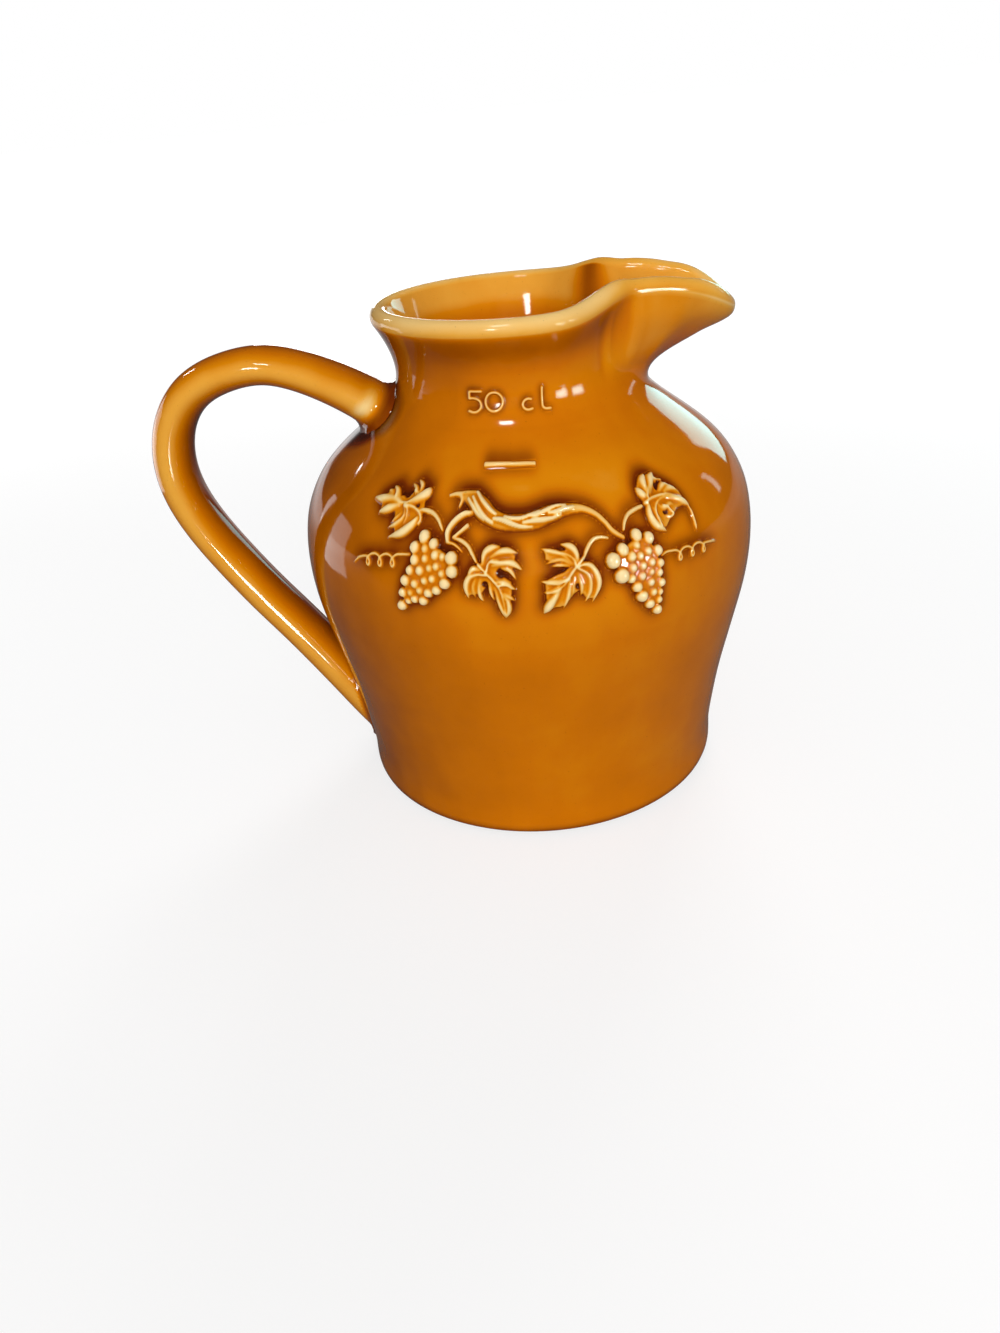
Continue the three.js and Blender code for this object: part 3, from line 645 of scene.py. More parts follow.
stem_height = 1.0
stems = {
    "upper_left_stem": [(-25.4, 80.35, 0.34), (-24, 80.4, 0.42), (-22, 80.1, 0.42),
                        (-20.4, 79.3, 0.4), (-19.3, 78.2, 0.34), (-18.8, 77.6, 0.22)],
    "lower_left_stem": [(-16, 76.45, 0.25), (-14.5, 76.2, 0.42), (-12.8, 75.3, 0.44),
                        (-11.8, 74, 0.42), (-10.9, 72.6, 0.3)],
    "upper_right_stem": [(20.5, 75.3, 0.28), (21.2, 76.5, 0.38), (22.5, 77.5, 0.4),
                         (24.5, 78, 0.4), (26.6, 78.2, 0.32)],
    "lower_right_stem": [(16.7, 74.55, 0.25), (15.2, 74.9, 0.36), (13.6, 74.8, 0.42),
                         (12.4, 74, 0.44), (11.4, 72.8, 0.4), (10.9, 71.9, 0.25)],
}
for name, line in stems.items():
    add_sprig(name, vine.drawn((line, stem_height)))


# Vine leaves
# Four lobed leaves, each a fan of rounded blades and finer raised veins over a low
# sheet, with deep hollows between the lobes.

leaf_sheet, hollow_edge = 0.5, (0.45, 1.1)
vein_height, vein_widths = 1.35, (0.3, 0.16)
# A blade of this half width has the full height, and its width changes along it
blade_height, full_blade = 1.2, 0.85
blade_places, blade_widths = (0, 0.25, 0.75, 1), (0.55, 0.9, 1, 0.18)


def inside_outline(outline):
    """Mask of the vine's canvas inside a closed outline."""
    x, z = np.meshgrid(vine.across, vine.up)
    inside = np.zeros(x.shape, bool)
    for (x0, z0), (x1, z1) in zip(outline, np.roll(outline, -1, axis=0)):
        crosses = (z0 > z) != (z1 > z)
        if z0 != z1:
            inside ^= crosses & (x < (x1 - x0) * (z - z0) / (z1 - z0) + x0)
    return inside


def leaf(corner, outline, blades, veins, hollows):
    """A leaf's field, drawn from a corner of its own.

    A blade is its half width and its points, and a hollow is (x, z, reach)."""
    field = vine.blank()
    field[inside_outline(np.add(outline, corner))] = leaf_sheet
    for x, z, reach in hollows:
        x, z = x + corner[0], z + corner[1]
        off = np.hypot(vine.across[None, :] - x, vine.up[:, None] - z) / reach
        field *= smoothstep(off, *hollow_edge)
    for half, *points in blades:
        share = np.linspace(0, 1, len(points))
        widths = half * np.interp(share, blade_places, blade_widths)
        height = blade_height * math.sqrt(half / full_blade)
        vine.stroke(field, np.column_stack([np.add(points, corner), widths]), height)
    for points in veins:
        widths = np.linspace(*vein_widths, len(points))
        vine.stroke(field, np.column_stack([np.add(points, corner), widths]), vein_height)
    return field


add_sprig("upper_left_leaf", leaf((-34, 75), [
    (-3.5, 6.3), (-2, 7.6), (1, 7), (4, 7.2), (5.4, 8.4), (8.8, 8), (9.2, 6), (9.4, 3.6), (7, 1.6),
    (3.4, 1), (2.4, 3), (0, 4.4), (-2.8, 4.2),
], [
    (0.85, (3, 5.9), (0.5, 6.3), (-3, 6.1), (-6.5, 6)),
    (0.5, (2, 6.3), (0, 7.6), (-2, 8.3)),
    (0.5, (0.2, 6.6), (-1.8, 7.3), (-3.3, 7.4)),
    (0.9, (2.5, 5.6), (-0.5, 4.8), (-3.1, 3.9)),
    (0.55, (6, 6.6), (5.7, 8), (3.2, 9.1)),
    (0.55, (7, 7), (6.7, 8.7), (4.5, 9.7)),
    (0.95, (4.4, 5.9), (7, 6.9), (9, 7.8), (9.9, 8.1)),
    (0.95, (8.4, 4), (7.4, 2.9), (5.2, 1.5), (1.8, 0.4)),
    (0.6, (4.3, 5.5), (4.8, 4), (3.2, 2.7), (1, 2)),
    (0.45, (3.8, 4.6), (2.8, 3.6), (1.4, 2.9)),
], [
    ((9.6, 8), (7.4, 7.2), (5, 6.2), (2.5, 6), (0.5, 6.5), (-1.5, 6.6), (-3.6, 6.3)),
    ((0.8, 6.6), (-0.3, 7.6), (-1.6, 8.1)),
    ((4, 5.6), (5.2, 5.2), (5.6, 4), (5.3, 3)),
    ((4, 5.6), (6.5, 5.6), (8, 5.2), (9, 4.6), (9.4, 3.9), (9, 3.1)),
    ((5.4, 7.9), (6.6, 7.6), (6.8, 6.9)),
], hollows=[(3.4, 7.9, 1.3), (0.8, 3.6, 1.5), (7.4, 5.9, 0.6)]))

add_sprig("lower_left_leaf", leaf((-13, 65), [
    (3.2, 7.6), (4.6, 9.4), (8, 9.4), (10.2, 8.6), (9.4, 6), (6.6, 5.6), (9, 4), (9, 1.6),
    (8.4, -1), (7.5, -2.8), (6.4, 0.4), (5.4, 2.4), (4.4, 3.6), (3.2, 2), (0.6, 1.4), (-0.2, 3.6),
    (0.8, 5.6),
], [
    (0.75, (3.4, 7.2), (3.9, 9.1), (5.2, 9.9), (7.1, 10.2)),
    (0.7, (5.1, 8.4), (6.8, 9.2), (8.6, 9.4), (10.6, 9)),
    (0.75, (5.4, 7), (7.6, 7.4), (9.6, 7.2), (11.4, 6)),
    (0.55, (7.4, 6.5), (9, 6), (10.1, 4.2)),
    (0.6, (5.6, 4), (7.8, 3.8), (10, 2.3)),
    (0.5, (6.9, 2), (8.3, 1.3), (9.7, 0.1)),
    (0.6, (6.8, 2.2), (8.1, 0.4), (8.3, -1.6), (7.6, -3.3)),
    (0.5, (5.8, 3), (6.3, 0.6), (7, -1.6), (7.5, -3.3)),
    (0.45, (4.7, 3.9), (5, 2), (5.6, 0.2)),
    (0.45, (3, 4.8), (2.6, 3), (2.8, 1.3), (3.5, 0.1)),
    (0.45, (2, 4.8), (1.4, 3), (1.8, 0.7)),
    (0.75, (2.8, 5.5), (0.8, 4.9), (0, 3.2), (0.4, 0.7)),
    (0.7, (3, 6.2), (1.4, 6.3), (0.1, 4.6)),
], [
    ((2.5, 7.2), (4.1, 5.7), (5.7, 4.1), (6.8, 2.5), (7.2, 0.9), (7.5, -0.8), (7.6, -2.6)),
    ((4.2, 5.3), (2.3, 5.4), (0.9, 4.8), (0.1, 3.6), (0.1, 1.8)),
    ((4.2, 5.7), (4.6, 7.2), (5.6, 8), (6.8, 7.9)),
    ((5.1, 7.6), (7.4, 7.5), (9.6, 7), (11, 6.2)),
    ((6.4, 3.3), (8, 3.4), (9.4, 2.6)),
], hollows=[(7.1, 5.6, 1.15), (3.8, 3.6, 0.7), (4.4, 6.7, 0.35)]))

add_sprig("upper_right_leaf", leaf((27, 73), [
    (-0.4, 7.6), (0.6, 8.2), (2, 9.2), (5.6, 9.4), (7, 8.4), (5.4, 7.2), (9, 7.2), (11, 5.6),
    (11.6, 3), (8.6, 3.2), (5.8, 2), (4, 0.8), (2.2, 0.6), (0.6, 2.8), (0.6, 5),
], [
    (0.95, (1.6, 6.4), (0.6, 7), (0.1, 8)),
    (0.95, (1.8, 6.6), (2.6, 8.4), (4.4, 9.6)),
    (0.85, (2.6, 6.6), (4.8, 8.4), (7.2, 9.5)),
    (0.6, (5.6, 6.6), (7.4, 7.2), (9.4, 7)),
    (0.7, (6.6, 6.2), (8.8, 6.4), (11, 5.5)),
    (0.75, (5.8, 5.5), (8.4, 4.8), (10.4, 3.8), (11.8, 2.6)),
    (0.9, (1.2, 5.4), (0.6, 3.4), (1.3, 1.6), (3.6, 0)),
    (0.55, (2, 4.4), (2.2, 2.8), (3.6, 1.2)),
    (0.5, (3.4, 4.8), (4.6, 3.8), (6.6, 4.2), (8, 3.6)),
    (0.34, (11.4, 3.3), (11.8, 1.6), (11.6, -1), (11.8, -2.3)),
], [
    ((0.4, 5.4), (2, 5.8), (4.5, 5.9), (7, 5.7), (9, 5), (10.8, 4), (11.7, 2.8)),
    ((2.4, 1.2), (2, 3), (2.8, 4.6), (4.4, 5.3), (6.6, 5.4)),
    ((1.6, 6.2), (3, 7.4), (5.6, 8.4), (8.2, 8)),
    ((4.6, 4.2), (5.4, 3.9), (6.1, 3), (6.6, 2.4), (5.6, 2.1), (4.6, 2.6)),
], hollows=[(5.6, 7.3, 0.8), (4.8, 3.3, 0.8)]))

add_sprig("lower_right_leaf", leaf((2, 63), [
    (7.6, 9.4), (6.4, 11), (4.2, 10.6), (1, 11), (1.2, 9.4), (4.6, 8.6), (6, 7.8), (4.6, 7),
    (2.6, 6.4), (0.6, 5.6), (0.6, 3), (1, 0.4), (2.8, 0.2), (4.4, 0.4), (6, 2.4), (7.4, 3.2),
    (8.6, 1.2), (10.4, 1), (11.4, 3.6), (11, 6.6), (9, 8),
], [
    (0.8, (7.3, 7.8), (7.4, 9.8), (6.5, 11.1), (4.5, 11.8)),
    (0.5, (6.8, 8), (4.6, 10), (2.4, 10.8), (0.3, 11.4)),
    (0.5, (6.6, 8), (4.2, 9.2), (0.9, 8.7)),
    (0.42, (5.8, 7.9), (3.8, 8.3), (2, 8.2)),
    (0.6, (7, 7.2), (4.6, 5.5), (2, 5.3), (-0.2, 5.6)),
    (0.6, (4, 5.2), (2.4, 3.8), (0.2, 3.4)),
    (0.95, (3.6, 4.2), (2.2, 2.2), (1, 0.6), (0, -0.7)),
    (0.6, (5.6, 6), (5.1, 2.8), (3.9, -0.3)),
    (0.42, (6.5, 6.2), (6.1, 3.6), (5.8, 2)),
    (0.5, (7.3, 6.4), (7.8, 4), (7.5, 1.8)),
    (0.55, (8.2, 6.8), (9.5, 5.2), (9.4, 2.8), (8.2, 0.4)),
    (0.75, (7.9, 8), (10.2, 7.2), (11.3, 4), (9.7, 0.2)),
], [
    ((8.8, 9), (7.2, 7.7), (6, 6.6), (4.6, 4.8), (3, 3.6), (2.2, 2), (1.2, 0.2)),
    ((7.4, 7.3), (9.3, 6), (9.8, 4.2), (9.5, 2.4)),
    ((7, 7.6), (6.7, 9), (5.4, 10), (3.6, 10.5)),
    ((5.4, 5.6), (3, 4.9), (1, 5.2)),
    ((3.4, 4), (2, 3.4), (0.8, 3.4)),
    ((7.2, 7.6), (9.6, 7.7), (10.9, 6), (11.2, 4), (10.4, 1.6)),
], hollows=[(4.2, 7.6, 0.9), (7.2, 3.9, 0.75)]))


# Bunches of grapes
# Two bunches of small round berries pressed against a low backing.

backing_height, berry_foot = 0.8, 0.48
berry_spread, berry_rise, berry_dome = 1.04, 0.3, 0.82


def bunch(corner, outline, berries):
    """A bunch's field, drawn from a corner of its own: a berry is (x, z, radius)."""
    field = vine.blank()
    field[inside_outline(np.add(outline, corner))] = backing_height
    for x, z, radius in berries:
        vine.dab(field, x + corner[0], z + corner[1], radius * berry_spread, lambda off:
                 berry_foot + radius * (berry_rise + berry_dome * np.sqrt(1 - off**2)))
    return field


add_sprig("left_bunch", bunch((-27, 64), [
    (4.4, 12.2), (2.4, 10.4), (1.8, 6.4), (0.6, 3), (0, 0), (2, 0.2), (4.6, 1), (7.6, 3.2),
    (9.6, 4.8), (11, 7.4), (10.4, 9.4), (6.8, 11),
], [
    (4.4, 12.3, 1.2), (6.7, 11.3, 1), (2.5, 10.4, 1.15), (4.9, 10.4, 0.85), (2.8, 8.3, 1.05),
    (5.1, 8.7, 0.8), (7.3, 9.4, 0.9), (9, 9.2, 0.75), (10.9, 9.1, 1.25), (1.8, 6.3, 0.95),
    (4.1, 6.5, 0.95), (6.2, 7.1, 0.75), (7.7, 7.5, 0.8), (9, 6.3, 0.8), (11.1, 6.8, 1.2),
    (0.8, 4.3, 1.1), (3, 3.9, 0.9), (5.2, 4.7, 0.8), (6.9, 5.2, 0.8), (9.6, 4.5, 1.1),
    (4.1, 2.7, 0.8), (7.8, 3.1, 0.95), (0.1, 1.8, 0.95), (1.9, 2, 0.7), (6, 2.4, 0.95),
    (2.9, 0.8, 0.85), (4.8, 0.7, 0.95), (1.4, 0.2, 0.7), (-0.2, -0.9, 1.05),
]))
add_sprig("right_bunch", bunch((18, 64), [
    (4.8, 9.6), (7.4, 8.8), (8.8, 6.2), (9, 3), (8.8, 0), (8.2, -3), (7.4, -5.2), (5.8, -3.8),
    (4, -1.6), (2.2, 1.6), (0, 3.4), (-1.2, 6.4), (1.2, 8),
], [
    (4.8, 9.9, 1.15), (7.4, 8.9, 1.15), (4.3, 8.2, 0.8), (1.1, 8, 1.2), (6.6, 6.7, 0.85),
    (8.9, 6.3, 1.05), (-1.3, 6.5, 1.45), (2.7, 6.5, 1), (4.6, 6.2, 0.85), (7, 4.5, 0.85),
    (9, 3.9, 0.9), (4.9, 4.3, 0.85), (2.6, 4.4, 0.95), (0.1, 3.4, 1.45), (6.6, 2.7, 0.75),
    (8.5, 2.1, 0.85), (2, 2.5, 1), (4.4, 2.4, 0.9), (6.3, 0.7, 0.85), (8.8, 0, 0.9),
    (3.2, 0.5, 1.05), (4.1, -1.6, 1.2), (6.7, -1.4, 0.85), (8.3, -1.8, 0.75), (8, -3.4, 0.8),
    (5.8, -3.7, 1), (7.5, -5.4, 1.05),
]))


# Tendrils
# Two thin threads of clay that loop the loop as they run out from the bunches.

tendril_height, tendril_half = 0.62, 0.33
tendril_loops, tendril_steps = 2.85, 45


def tendril(lead, start, pitch, drop, radius, tail):
    """A thread's field: each loop is the pitch further along and the drop further down."""
    turns = np.linspace(0, tendril_loops, tendril_steps + 1)
    swing = 2 * math.pi * turns
    x = start[0] + pitch * turns + math.copysign(radius, pitch) * np.sin(swing)
    z = start[1] + drop * turns + radius * np.cos(swing)
    line = lead + list(zip(x, z)) + tail
    widths = np.full(len(line), tendril_half)
    widths[-1] = tendril_half / 2
    return vine.drawn((np.column_stack([line, widths]), tendril_height))


add_sprig("left_tendril", tendril(
    lead=[(-25.9, 73.1), (-26.9, 73)], start=(-28.3, 71.7), pitch=-3.35, drop=-0.4, radius=1.15,
    tail=[(-39.4, 70.6), (-41.2, 69.1)]))
add_sprig("right_tendril", tendril(
    lead=[(28, 69.1), (29.2, 69.4)], start=(30.8, 68.1), pitch=3.5, drop=-0.25, radius=1.12,
    tail=[(42.4, 67.6), (44.2, 67)]))


# Fill line and capacity mark
# A raised bar at the half-litre level, and above it the capacity in raised figures
# and letters, both pressed from the mould.

fill_line = [(-10.9, 87.25, 0.46), (-6, 87.25, 0.42), (-1, 87.15, 0.4), (3.4, 87.05, 0.38)]
add_sprig("fill_line", vine.drawn((fill_line, 0.75)))

mark_height, pen = 0.5, 0.34
label = Canvas(left=-13, right=9, low=92.5, high=102.5, cell=0.1, radius=27.5)
five = [(-7.6, 99.4), (-8.8, 99.4), (-10.15, 99.35), (-10.2, 98.7), (-10.25, 98), (-9.7, 98.05),
        (-8.8, 97.95), (-8, 97.5), (-7.65, 96.7), (-7.85, 95.95), (-8.6, 95.45), (-9.4, 95.4),
        (-10.2, 95.65)]
nought = [(-4.95 + 1.78 * math.sin(t), 97.35 + 1.82 * math.cos(t))
          for t in np.linspace(0, 2 * math.pi, 17)]
small_c = [(2.6, 97.35), (2, 97.5), (1.2, 97.2), (0.8, 96.5), (1.05, 95.8), (1.8, 95.45),
           (2.7, 95.6)]
small_l = [(4.95, 99.5), (4.85, 98), (4.75, 96.5), (4.8, 95.7), (5.3, 95.35), (6.3, 95.3)]
figures = label.drawn(*[([(x, z, pen) for x, z in line], mark_height)
                        for line in (five, nought, small_c, small_l)])
mark_points, mark_faces, mark_arc, mark_z = label.solid(figures)
capacity_mark = add_piece("capacity_mark", mark_points, mark_faces, "fill_line",
                          relief)


# Glaze
# The molten glaze runs thin over crests and edges, where the pale clay shines
# through, and pools dark in hollows, above ledges and round the joints.
# On the body and the handle the depth also paints some shade and light.


def store(piece, name, values):
    layer = piece.data.attributes.new(name, "FLOAT", "POINT")
    layer.data.foreach_set("value", np.asarray(values, np.float32))


# Round a sprig lie a pool under its ledges, a wide faint pool and a broad thin ring.
# On it the glaze is thinner on high parts and sharp crests and deeper in hollows.
cover_height, cover_blur, ledge_shift = 0.25, 0.15, 0.5
wide_pool, wide_reach, thin_ring, ring_reach = 0.13, 2.2, 0.6, 4.5
relief_blur, crest_reach, hollow_reaches = 0.14, 0.8, ((0.32, 3.2), (0.85, 1.5))
on_relief, off_high, off_crest, in_hollow = 0.68, 0.16, 0.34, 0.75
high_parts, sprig_edge = (0.4, 1.4), (0.05, 0.45)


def relief_depths(canvas, field, spread, pooling, ridge):
    """Depth of glaze over a canvas: drawn thin on crests, pooled in hollows and round edges."""
    blur = canvas.blur
    cover = blur((field > cover_height).astype(float), cover_blur)
    ledge = np.roll(cover, int(ledge_shift * spread / canvas.cell), axis=0)
    pool = pooling * (blur(ledge, spread) + wide_pool * blur(cover, wide_reach * spread))
    around = 1 + pool - thin_ring * blur(cover, ring_reach * spread)
    soft = blur(field, relief_blur)
    hollow = sum(share * np.clip(blur(field, reach) - soft, 0, None)
                 for reach, share in hollow_reaches)
    crest = smoothstep(soft - blur(field, crest_reach), 0, ridge)
    depth = (on_relief - off_high * smoothstep(soft, *high_parts) - off_crest * crest
             + in_hollow * hollow)
    raised = smoothstep(soft, *sprig_edge)
    return around * (1 - raised) + depth * raised


vine_field = np.max([field for field, *_ in sprigs], axis=0)
vine_depth = relief_depths(vine, vine_field, spread=1.15, pooling=3.5, ridge=0.4)
label_depth = relief_depths(label, figures, spread=0.55, pooling=2.2, ridge=0.16)

for _, piece, arc, z in sprigs:
    store(piece, "glaze", np.tile(vine.read(vine_depth, arc, z), 2))
store(capacity_mark, "glaze", np.tile(label.read(label_depth, mark_arc, mark_z), 2))

# Where each point of the body lies: its ring, the level of that ring before the
# spout is drawn out, and the lip's point above it
row = np.repeat(np.arange(len(body_rings)), columns)
row = np.concatenate([[0], row, [len(body_rings) - 1]])
first_out, first_lip = len(foot), len(foot) + len(outside)
first_in = first_lip + len(lip_rings)
is_outside = (row >= first_out) & (row < first_lip)
is_lip, is_inside = (row >= first_lip) & (row < first_in), row >= first_in
lip_share = np.clip((row - first_lip) / len(lip_rings), 0, 1)
lip_x = np.concatenate([[0], np.tile(lip[:, 0], len(body_rings)), [0]])
x, y, high = body_points.T
angle = np.arctan2(x, -y)
level = np.concatenate([np.zeros(first_out), heights])[np.minimum(row, first_lip - 1)]
level = np.where(is_inside, high, level)

handle_tree = KDTree(len(handle_points))
for index, point in enumerate(handle_points):
    handle_tree.insert(point, index)
handle_tree.balance()
handle_gap = np.full(len(body_points), np.inf)
is_near_handle = is_outside & (x < -20)
for index in np.flatnonzero(is_near_handle):
    handle_gap[index] = handle_tree.find(body_points[index])[2]

at_neck = (60, 80)
spout_side, nose_tip = smoothstep(lip_x, 17, 24), smoothstep(lip_x, 34, 46)
handle_side, upper = smoothstep(-x, 5, 42), smoothstep(high, *at_neck)
rim = np.where(is_outside, smoothstep(level, 109.2, 110.6),
               smoothstep(level, 104 + 2 * spout_side, 109.5 + 0.5 * spout_side))
# Painted shade: a dark band under the flare of the lip, lower down on the handle's side
under_lip_shade = hump(level, 107.3, 3) * (1 - spout_side) + hump(level, 103, 3.5) * handle_side
ring_turn = np.cross(ring_tangents(outside), np.roll(ring_tangents(outside), -1, axis=1))[..., 2]
spacing = np.linalg.norm(np.roll(outside, -1, axis=1) - outside, axis=-1)
sharpest = 0.12
crease = np.zeros(len(body_points))
crease[is_outside] = np.clip(-ring_turn / spacing, 0, sharpest).ravel() / sharpest

body_glaze_with_painted_light = np.ones(len(body_points))


def deepen(amount, *shares):
    """Adds glaze depth to the body, or takes it off, where all the shares are above 0; some of it
    is painted light and shade.
    """
    body_glaze_with_painted_light[:] += amount * np.prod(shares, axis=0)


# The relief's pools, the joints and the foot, then painted shade on the handle's side and under the
# lip
is_front = is_outside & (np.abs(angle) < 1.2)
deepen(1, is_front, vine.read(vine_depth - 1, angle * vine.radius, high)
       + label.read(label_depth - 1, angle * label.radius, high))
deepen(0.9, 1 + upper, 1 - smoothstep(handle_gap, 0.3, 3 + 1.8 * upper))
deepen(0.9, is_outside, 1 - smoothstep(high, 0.4, 3.2))
# Painted shade: the handle's side of the body darker, and a dark band under the lip's flare
deepen(0.4, is_outside, handle_side)
deepen(0.52, is_outside, under_lip_shade)
# The lip and its edges, thin where the glaze breaks; the paler upper inside wall and nose tip of
# the lip are partly painted light
deepen(-0.42, ~is_lip, rim, 1 - 0.3 * spout_side * is_outside)
deepen(-1, is_lip, 0.46 + 0.2 * np.sin(math.pi * lip_share), 1 - 0.2 * spout_side)
deepen(-0.1, is_lip, nose_tip)
# The spout: paler on its cheeks and nose, painted light; darker under the nose, painted shade;
# deeper in its inner fold, partly pooled glaze and partly painted shade; and deeper in its creases
deepen(-0.3, is_outside, smoothstep(lip_x, 16, 22), smoothstep(level, 96, 101))
deepen(-0.12, ~is_lip, nose_tip, smoothstep(level, 101, 108))
deepen(0.5, is_outside, nose_tip, hump(level, 99, 5))
deepen(1.1, is_inside, hump(lip_x, 20, 1.8), smoothstep(level, 96, 104))
deepen(0.2, crease)
# The shoulder and the waist in front, a little thin and paler: painted light where the light falls
# on them
deepen(-0.24, is_outside, hump(level, 83.5, 5), hump(np.degrees(angle), 8, 34))
deepen(-0.12, is_outside, hump(level, 100, 4), hump(np.degrees(angle), 28, 26))
store(jug_body, "glaze", body_glaze_with_painted_light)
bare_from, bare_below = 33.2, 0.5
bare = (row < first_out) & (np.hypot(x, y) > bare_from) & (high < bare_below)
store(jug_body, "bare", bare.astype(float))

# The strap is thin on its broad sides and deep at its edges, which partly paints their shade;
# deeper on its inner face under the loop, painted shade; and deep at its joints
strap_depth, side_thinning, under_loop_shade, joint_pool, collar_thinning = 1.7, 1.15, 0.5, 1.4, 0.3
away, _ = off_body(handle_points)
upper = smoothstep(handle_points[:, 2], *at_neck)
all_turns = np.tile(strap_turns, len(strap))
handle_glaze_with_painted_shade = np.full(len(handle_points), strap_depth)
handle_glaze_with_painted_shade[1:-1] -= side_thinning * np.abs(np.sin(all_turns)) ** 0.8
# Painted shade on the inner face of the loop
handle_glaze_with_painted_shade[1:-1] += under_loop_shade * np.clip(np.cos(all_turns), 0, 1) ** 2
handle_glaze_with_painted_shade += joint_pool * (1 - smoothstep(away, 0.2, 1.6 + 1.2 * upper))
handle_glaze_with_painted_shade -= collar_thinning * hump(away, 4.4, 1.8) * upper
store(handle, "glaze", handle_glaze_with_painted_shade)
store(handle, "bare", np.zeros(len(handle_points)))


# Studio
# A pale floor and a white backdrop. Far windows, near cards with a narrow spread and
# small lamps show in the gloss only, and two large softboxes light the clay itself.

floor_size, floor_middle, floor_drop = 12.0, 0.05, 0.0002
floor_rings, spokes = 30, 96
turns = np.linspace(0, 2 * math.pi, spokes, endpoint=False)
radii = np.geomspace(floor_middle, floor_size, floor_rings)
points = [(0, 0, 0)] + [(r * math.cos(t), r * math.sin(t), 0) for r in radii for t in turns]
faces = [(0, 1 + i, 1 + (i + 1) % spokes) for i in range(spokes)]
for first in range(1, 1 + (floor_rings - 1) * spokes, spokes):
    for i in range(spokes):
        a, b = first + i, first + (i + 1) % spokes
        faces.append((a, a + spokes, b + spokes, b))
floor_mesh = bpy.data.meshes.new("floor")
floor_mesh.from_pydata(points, [], faces)
floor = add_object("floor", floor_mesh)
floor.location.z = -floor_drop

floor_paper = bpy.data.materials.new("floor_paper")
floor_paper.use_nodes = True
tree = Nodes(floor_paper.node_tree)
calc, path, spot = tree.calc, tree.add("LightPath"), tree.add("TexCoord")["Object"]
from_jug = tree.add("VectorMath", {0: spot}, operation="LENGTH")["Value"]
sides = tree.add("SeparateXYZ", {"Vector": spot})


def by_distance(near_value, far_value):
    """A value that changes smoothly from the jug outwards."""
    return tree.remap(from_jug, 0.15, 0.7, near_value, far_value, "SMOOTHSTEP")


mirrored = calc("MAXIMUM", path["Is Glossy Ray"], path["Is Transmission Ray"])
back_part = tree.remap(sides["Y"], -0.15, 0.25)
left_part = tree.remap(sides["X"], 0.35, 0.05, low=0.3, shape="SMOOTHSTEP")
in_gloss = calc("MULTIPLY", mirrored, back_part, left_part, by_distance(0, 1))
in_view = calc("MULTIPLY", path["Is Camera Ray"], by_distance(0.7, 1))
dimmed = tree.remap(mirrored, 0, 1, low=1, high=0.5)
tree.fill(tree.nodes["Principled BSDF"], {
    "Base Color": calc("MULTIPLY", by_distance(0.32, 0.12), dimmed),
    "Roughness": 0.9, "Specular IOR Level": 0.1,
    "Emission Color": (1, 1, 1, 1), "Emission Strength": calc("MAXIMUM", in_view, in_gloss),
})
floor_mesh.materials.append(floor_paper)

world = bpy.data.worlds.new("studio")
bpy.context.scene.world = world
world.use_nodes = True
tree = Nodes(world.node_tree)
calc, path, way = tree.calc, tree.add("LightPath"), tree.add("TexCoord")["Generated"]
sides = tree.add("SeparateXYZ", {"Vector": way})
room_light, front_glow, gloss_loss = 0.2, 0.28, 0.85
facing = tree.add("VectorMath", {0: way, 1: (0.05, -0.8, 0.6)}, operation="DOT_PRODUCT")["Value"]
glow = calc("MULTIPLY", tree.remap(facing, -0.1, 1, shape="SMOOTHSTEP"), front_glow)
mirrored = calc("MAXIMUM", path["Is Glossy Ray"], path["Is Transmission Ray"])
backdrop = calc("MULTIPLY", tree.remap(sides["Y"], 0.9, 0.98), tree.remap(sides["Z"], 0.1, 0.02))
shown = calc("MAXIMUM", path["Is Camera Ray"], calc("MULTIPLY", mirrored, backdrop))
room = calc("MULTIPLY", calc("ADD", room_light, glow),
            calc("SUBTRACT", 1, calc("MULTIPLY", mirrored, gloss_loss)))
strength = calc("ADD", room, calc("MULTIPLY", shown, calc("SUBTRACT", 1, room)))
tree.fill(tree.nodes["Background"], {"Color": (1, 1, 1, 1), "Strength": strength})


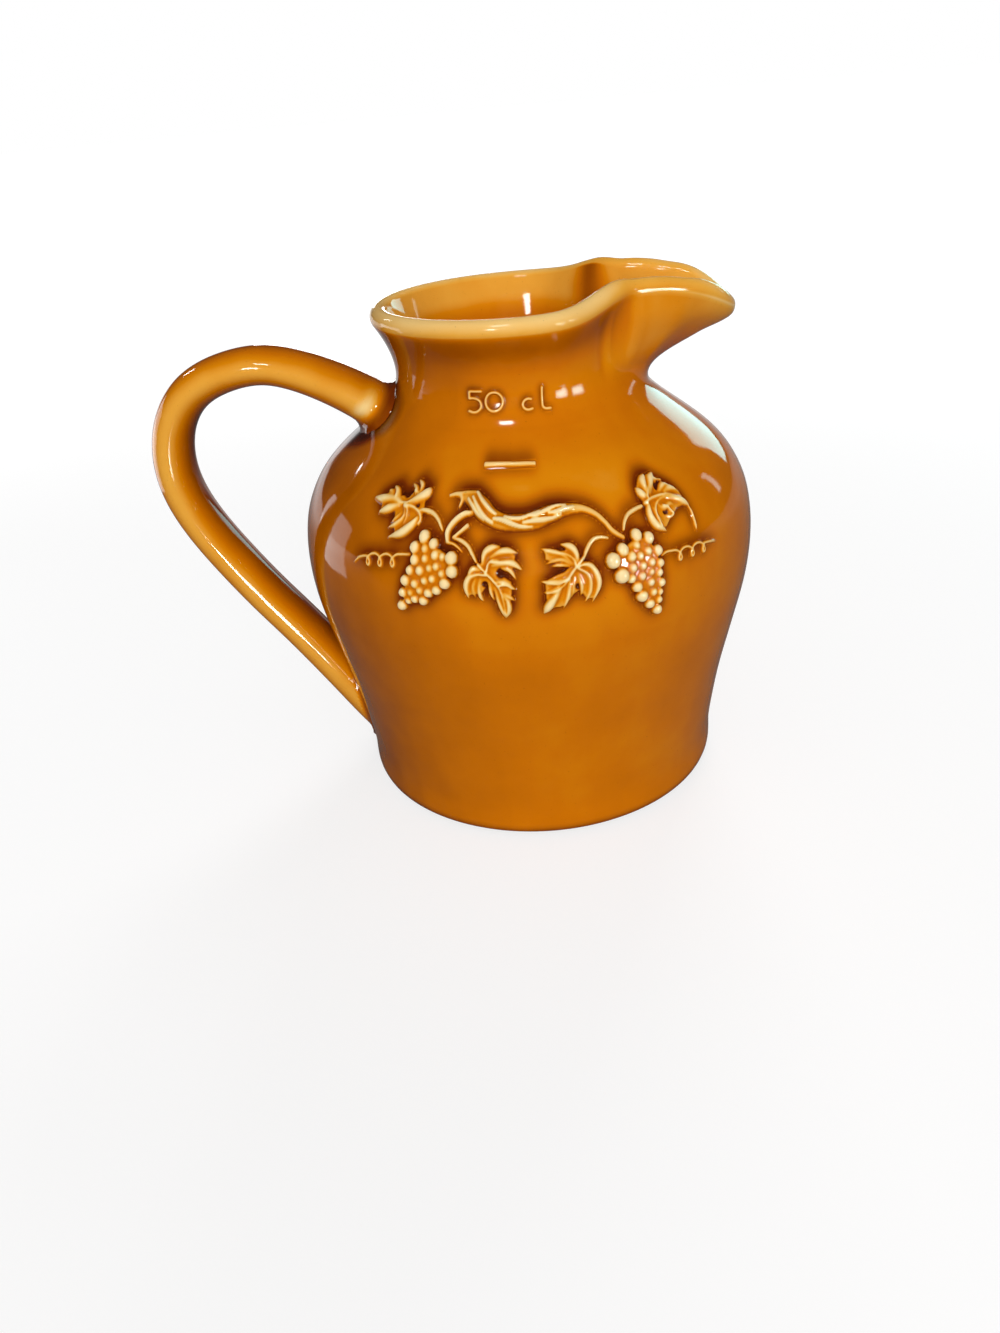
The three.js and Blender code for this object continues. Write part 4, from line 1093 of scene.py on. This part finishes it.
def add_lamp(name, bearing, elevation, width, height, radiance, distance=1500,
             aim=(0, 0, 70), spread=180, colour=(1, 1, 1), gloss=True):
    """A soft rectangular lamp that faces its aim; bearing 0 is in front and 90 to the right.

    It shows in the gloss only, or it lights the clay and is left out of the gloss."""
    light = bpy.data.lights.new(name, "AREA")
    light.shape = "RECTANGLE"
    light.size, light.size_y = width * MM, height * MM
    light.energy = radiance * math.pi * light.size * light.size_y
    light.color = colour
    light.spread = math.radians(spread)
    lamp = add_object(name, light)
    turn, rise = math.radians(bearing), math.radians(elevation)
    toward = Vector((math.sin(turn) * math.cos(rise), -math.cos(turn) * math.cos(rise),
                     math.sin(rise)))
    lamp.location = (Vector((body_axis, 0, 0)) + Vector(aim) + toward * distance) * MM
    lamp.rotation_euler = (-toward).to_track_quat("-Z", "Y").to_euler()
    lamp.visible_glossy, lamp.visible_diffuse = gloss, not gloss


# Bearing, elevation, width, height and radiance; for the cards there follow the
# distance from what they face, its place, their spread and their colour
greenish = (0.76, 1, 0.98)
add_lamp("window_behind_right", 147, 12, 520, 480, 4, colour=(0.5, 1, 0.98))
add_lamp("window_right", 117, 15, 80, 400, 4, colour=(0.74, 1, 0.97))
add_lamp("window_behind_left", -172, 4, 420, 130, 6)
add_lamp("card_neck_near", 43, 12, 20, 24, 0.7, 75, (8.8, -25.5, 97.5), 26, greenish)
add_lamp("card_neck_far", 62, 13.5, 16, 24, 0.6, 75, (12.1, -23.9, 97.4), 26, greenish)
add_lamp("card_bunch", 48, 5, 28, 28, 2.6, 80, (20.5, -46.8, 70), 24)
add_lamp("card_spout", 38, -2, 28, 26, 1, 90, (30, -13, 113), 26, (0.7, 1, 1))
add_lamp("card_handle", 4, -9, 34, 40, 3, 106, (-62, 0, 47), 40)
add_lamp("lamp_inside", -18, 26, 160, 260, 50)
add_lamp("skylight", -16, 58, 240, 110, 60)
add_lamp("glint_left", -134, 27, 60, 200, 20)
add_lamp("card_left", -108, 0, 130, 130, 2.2, 260)
add_lamp("softbox_front", 2, 21, 700, 700, 10.5, gloss=False)
add_lamp("softbox_behind", 165, 30, 700, 700, 6.5, gloss=False)
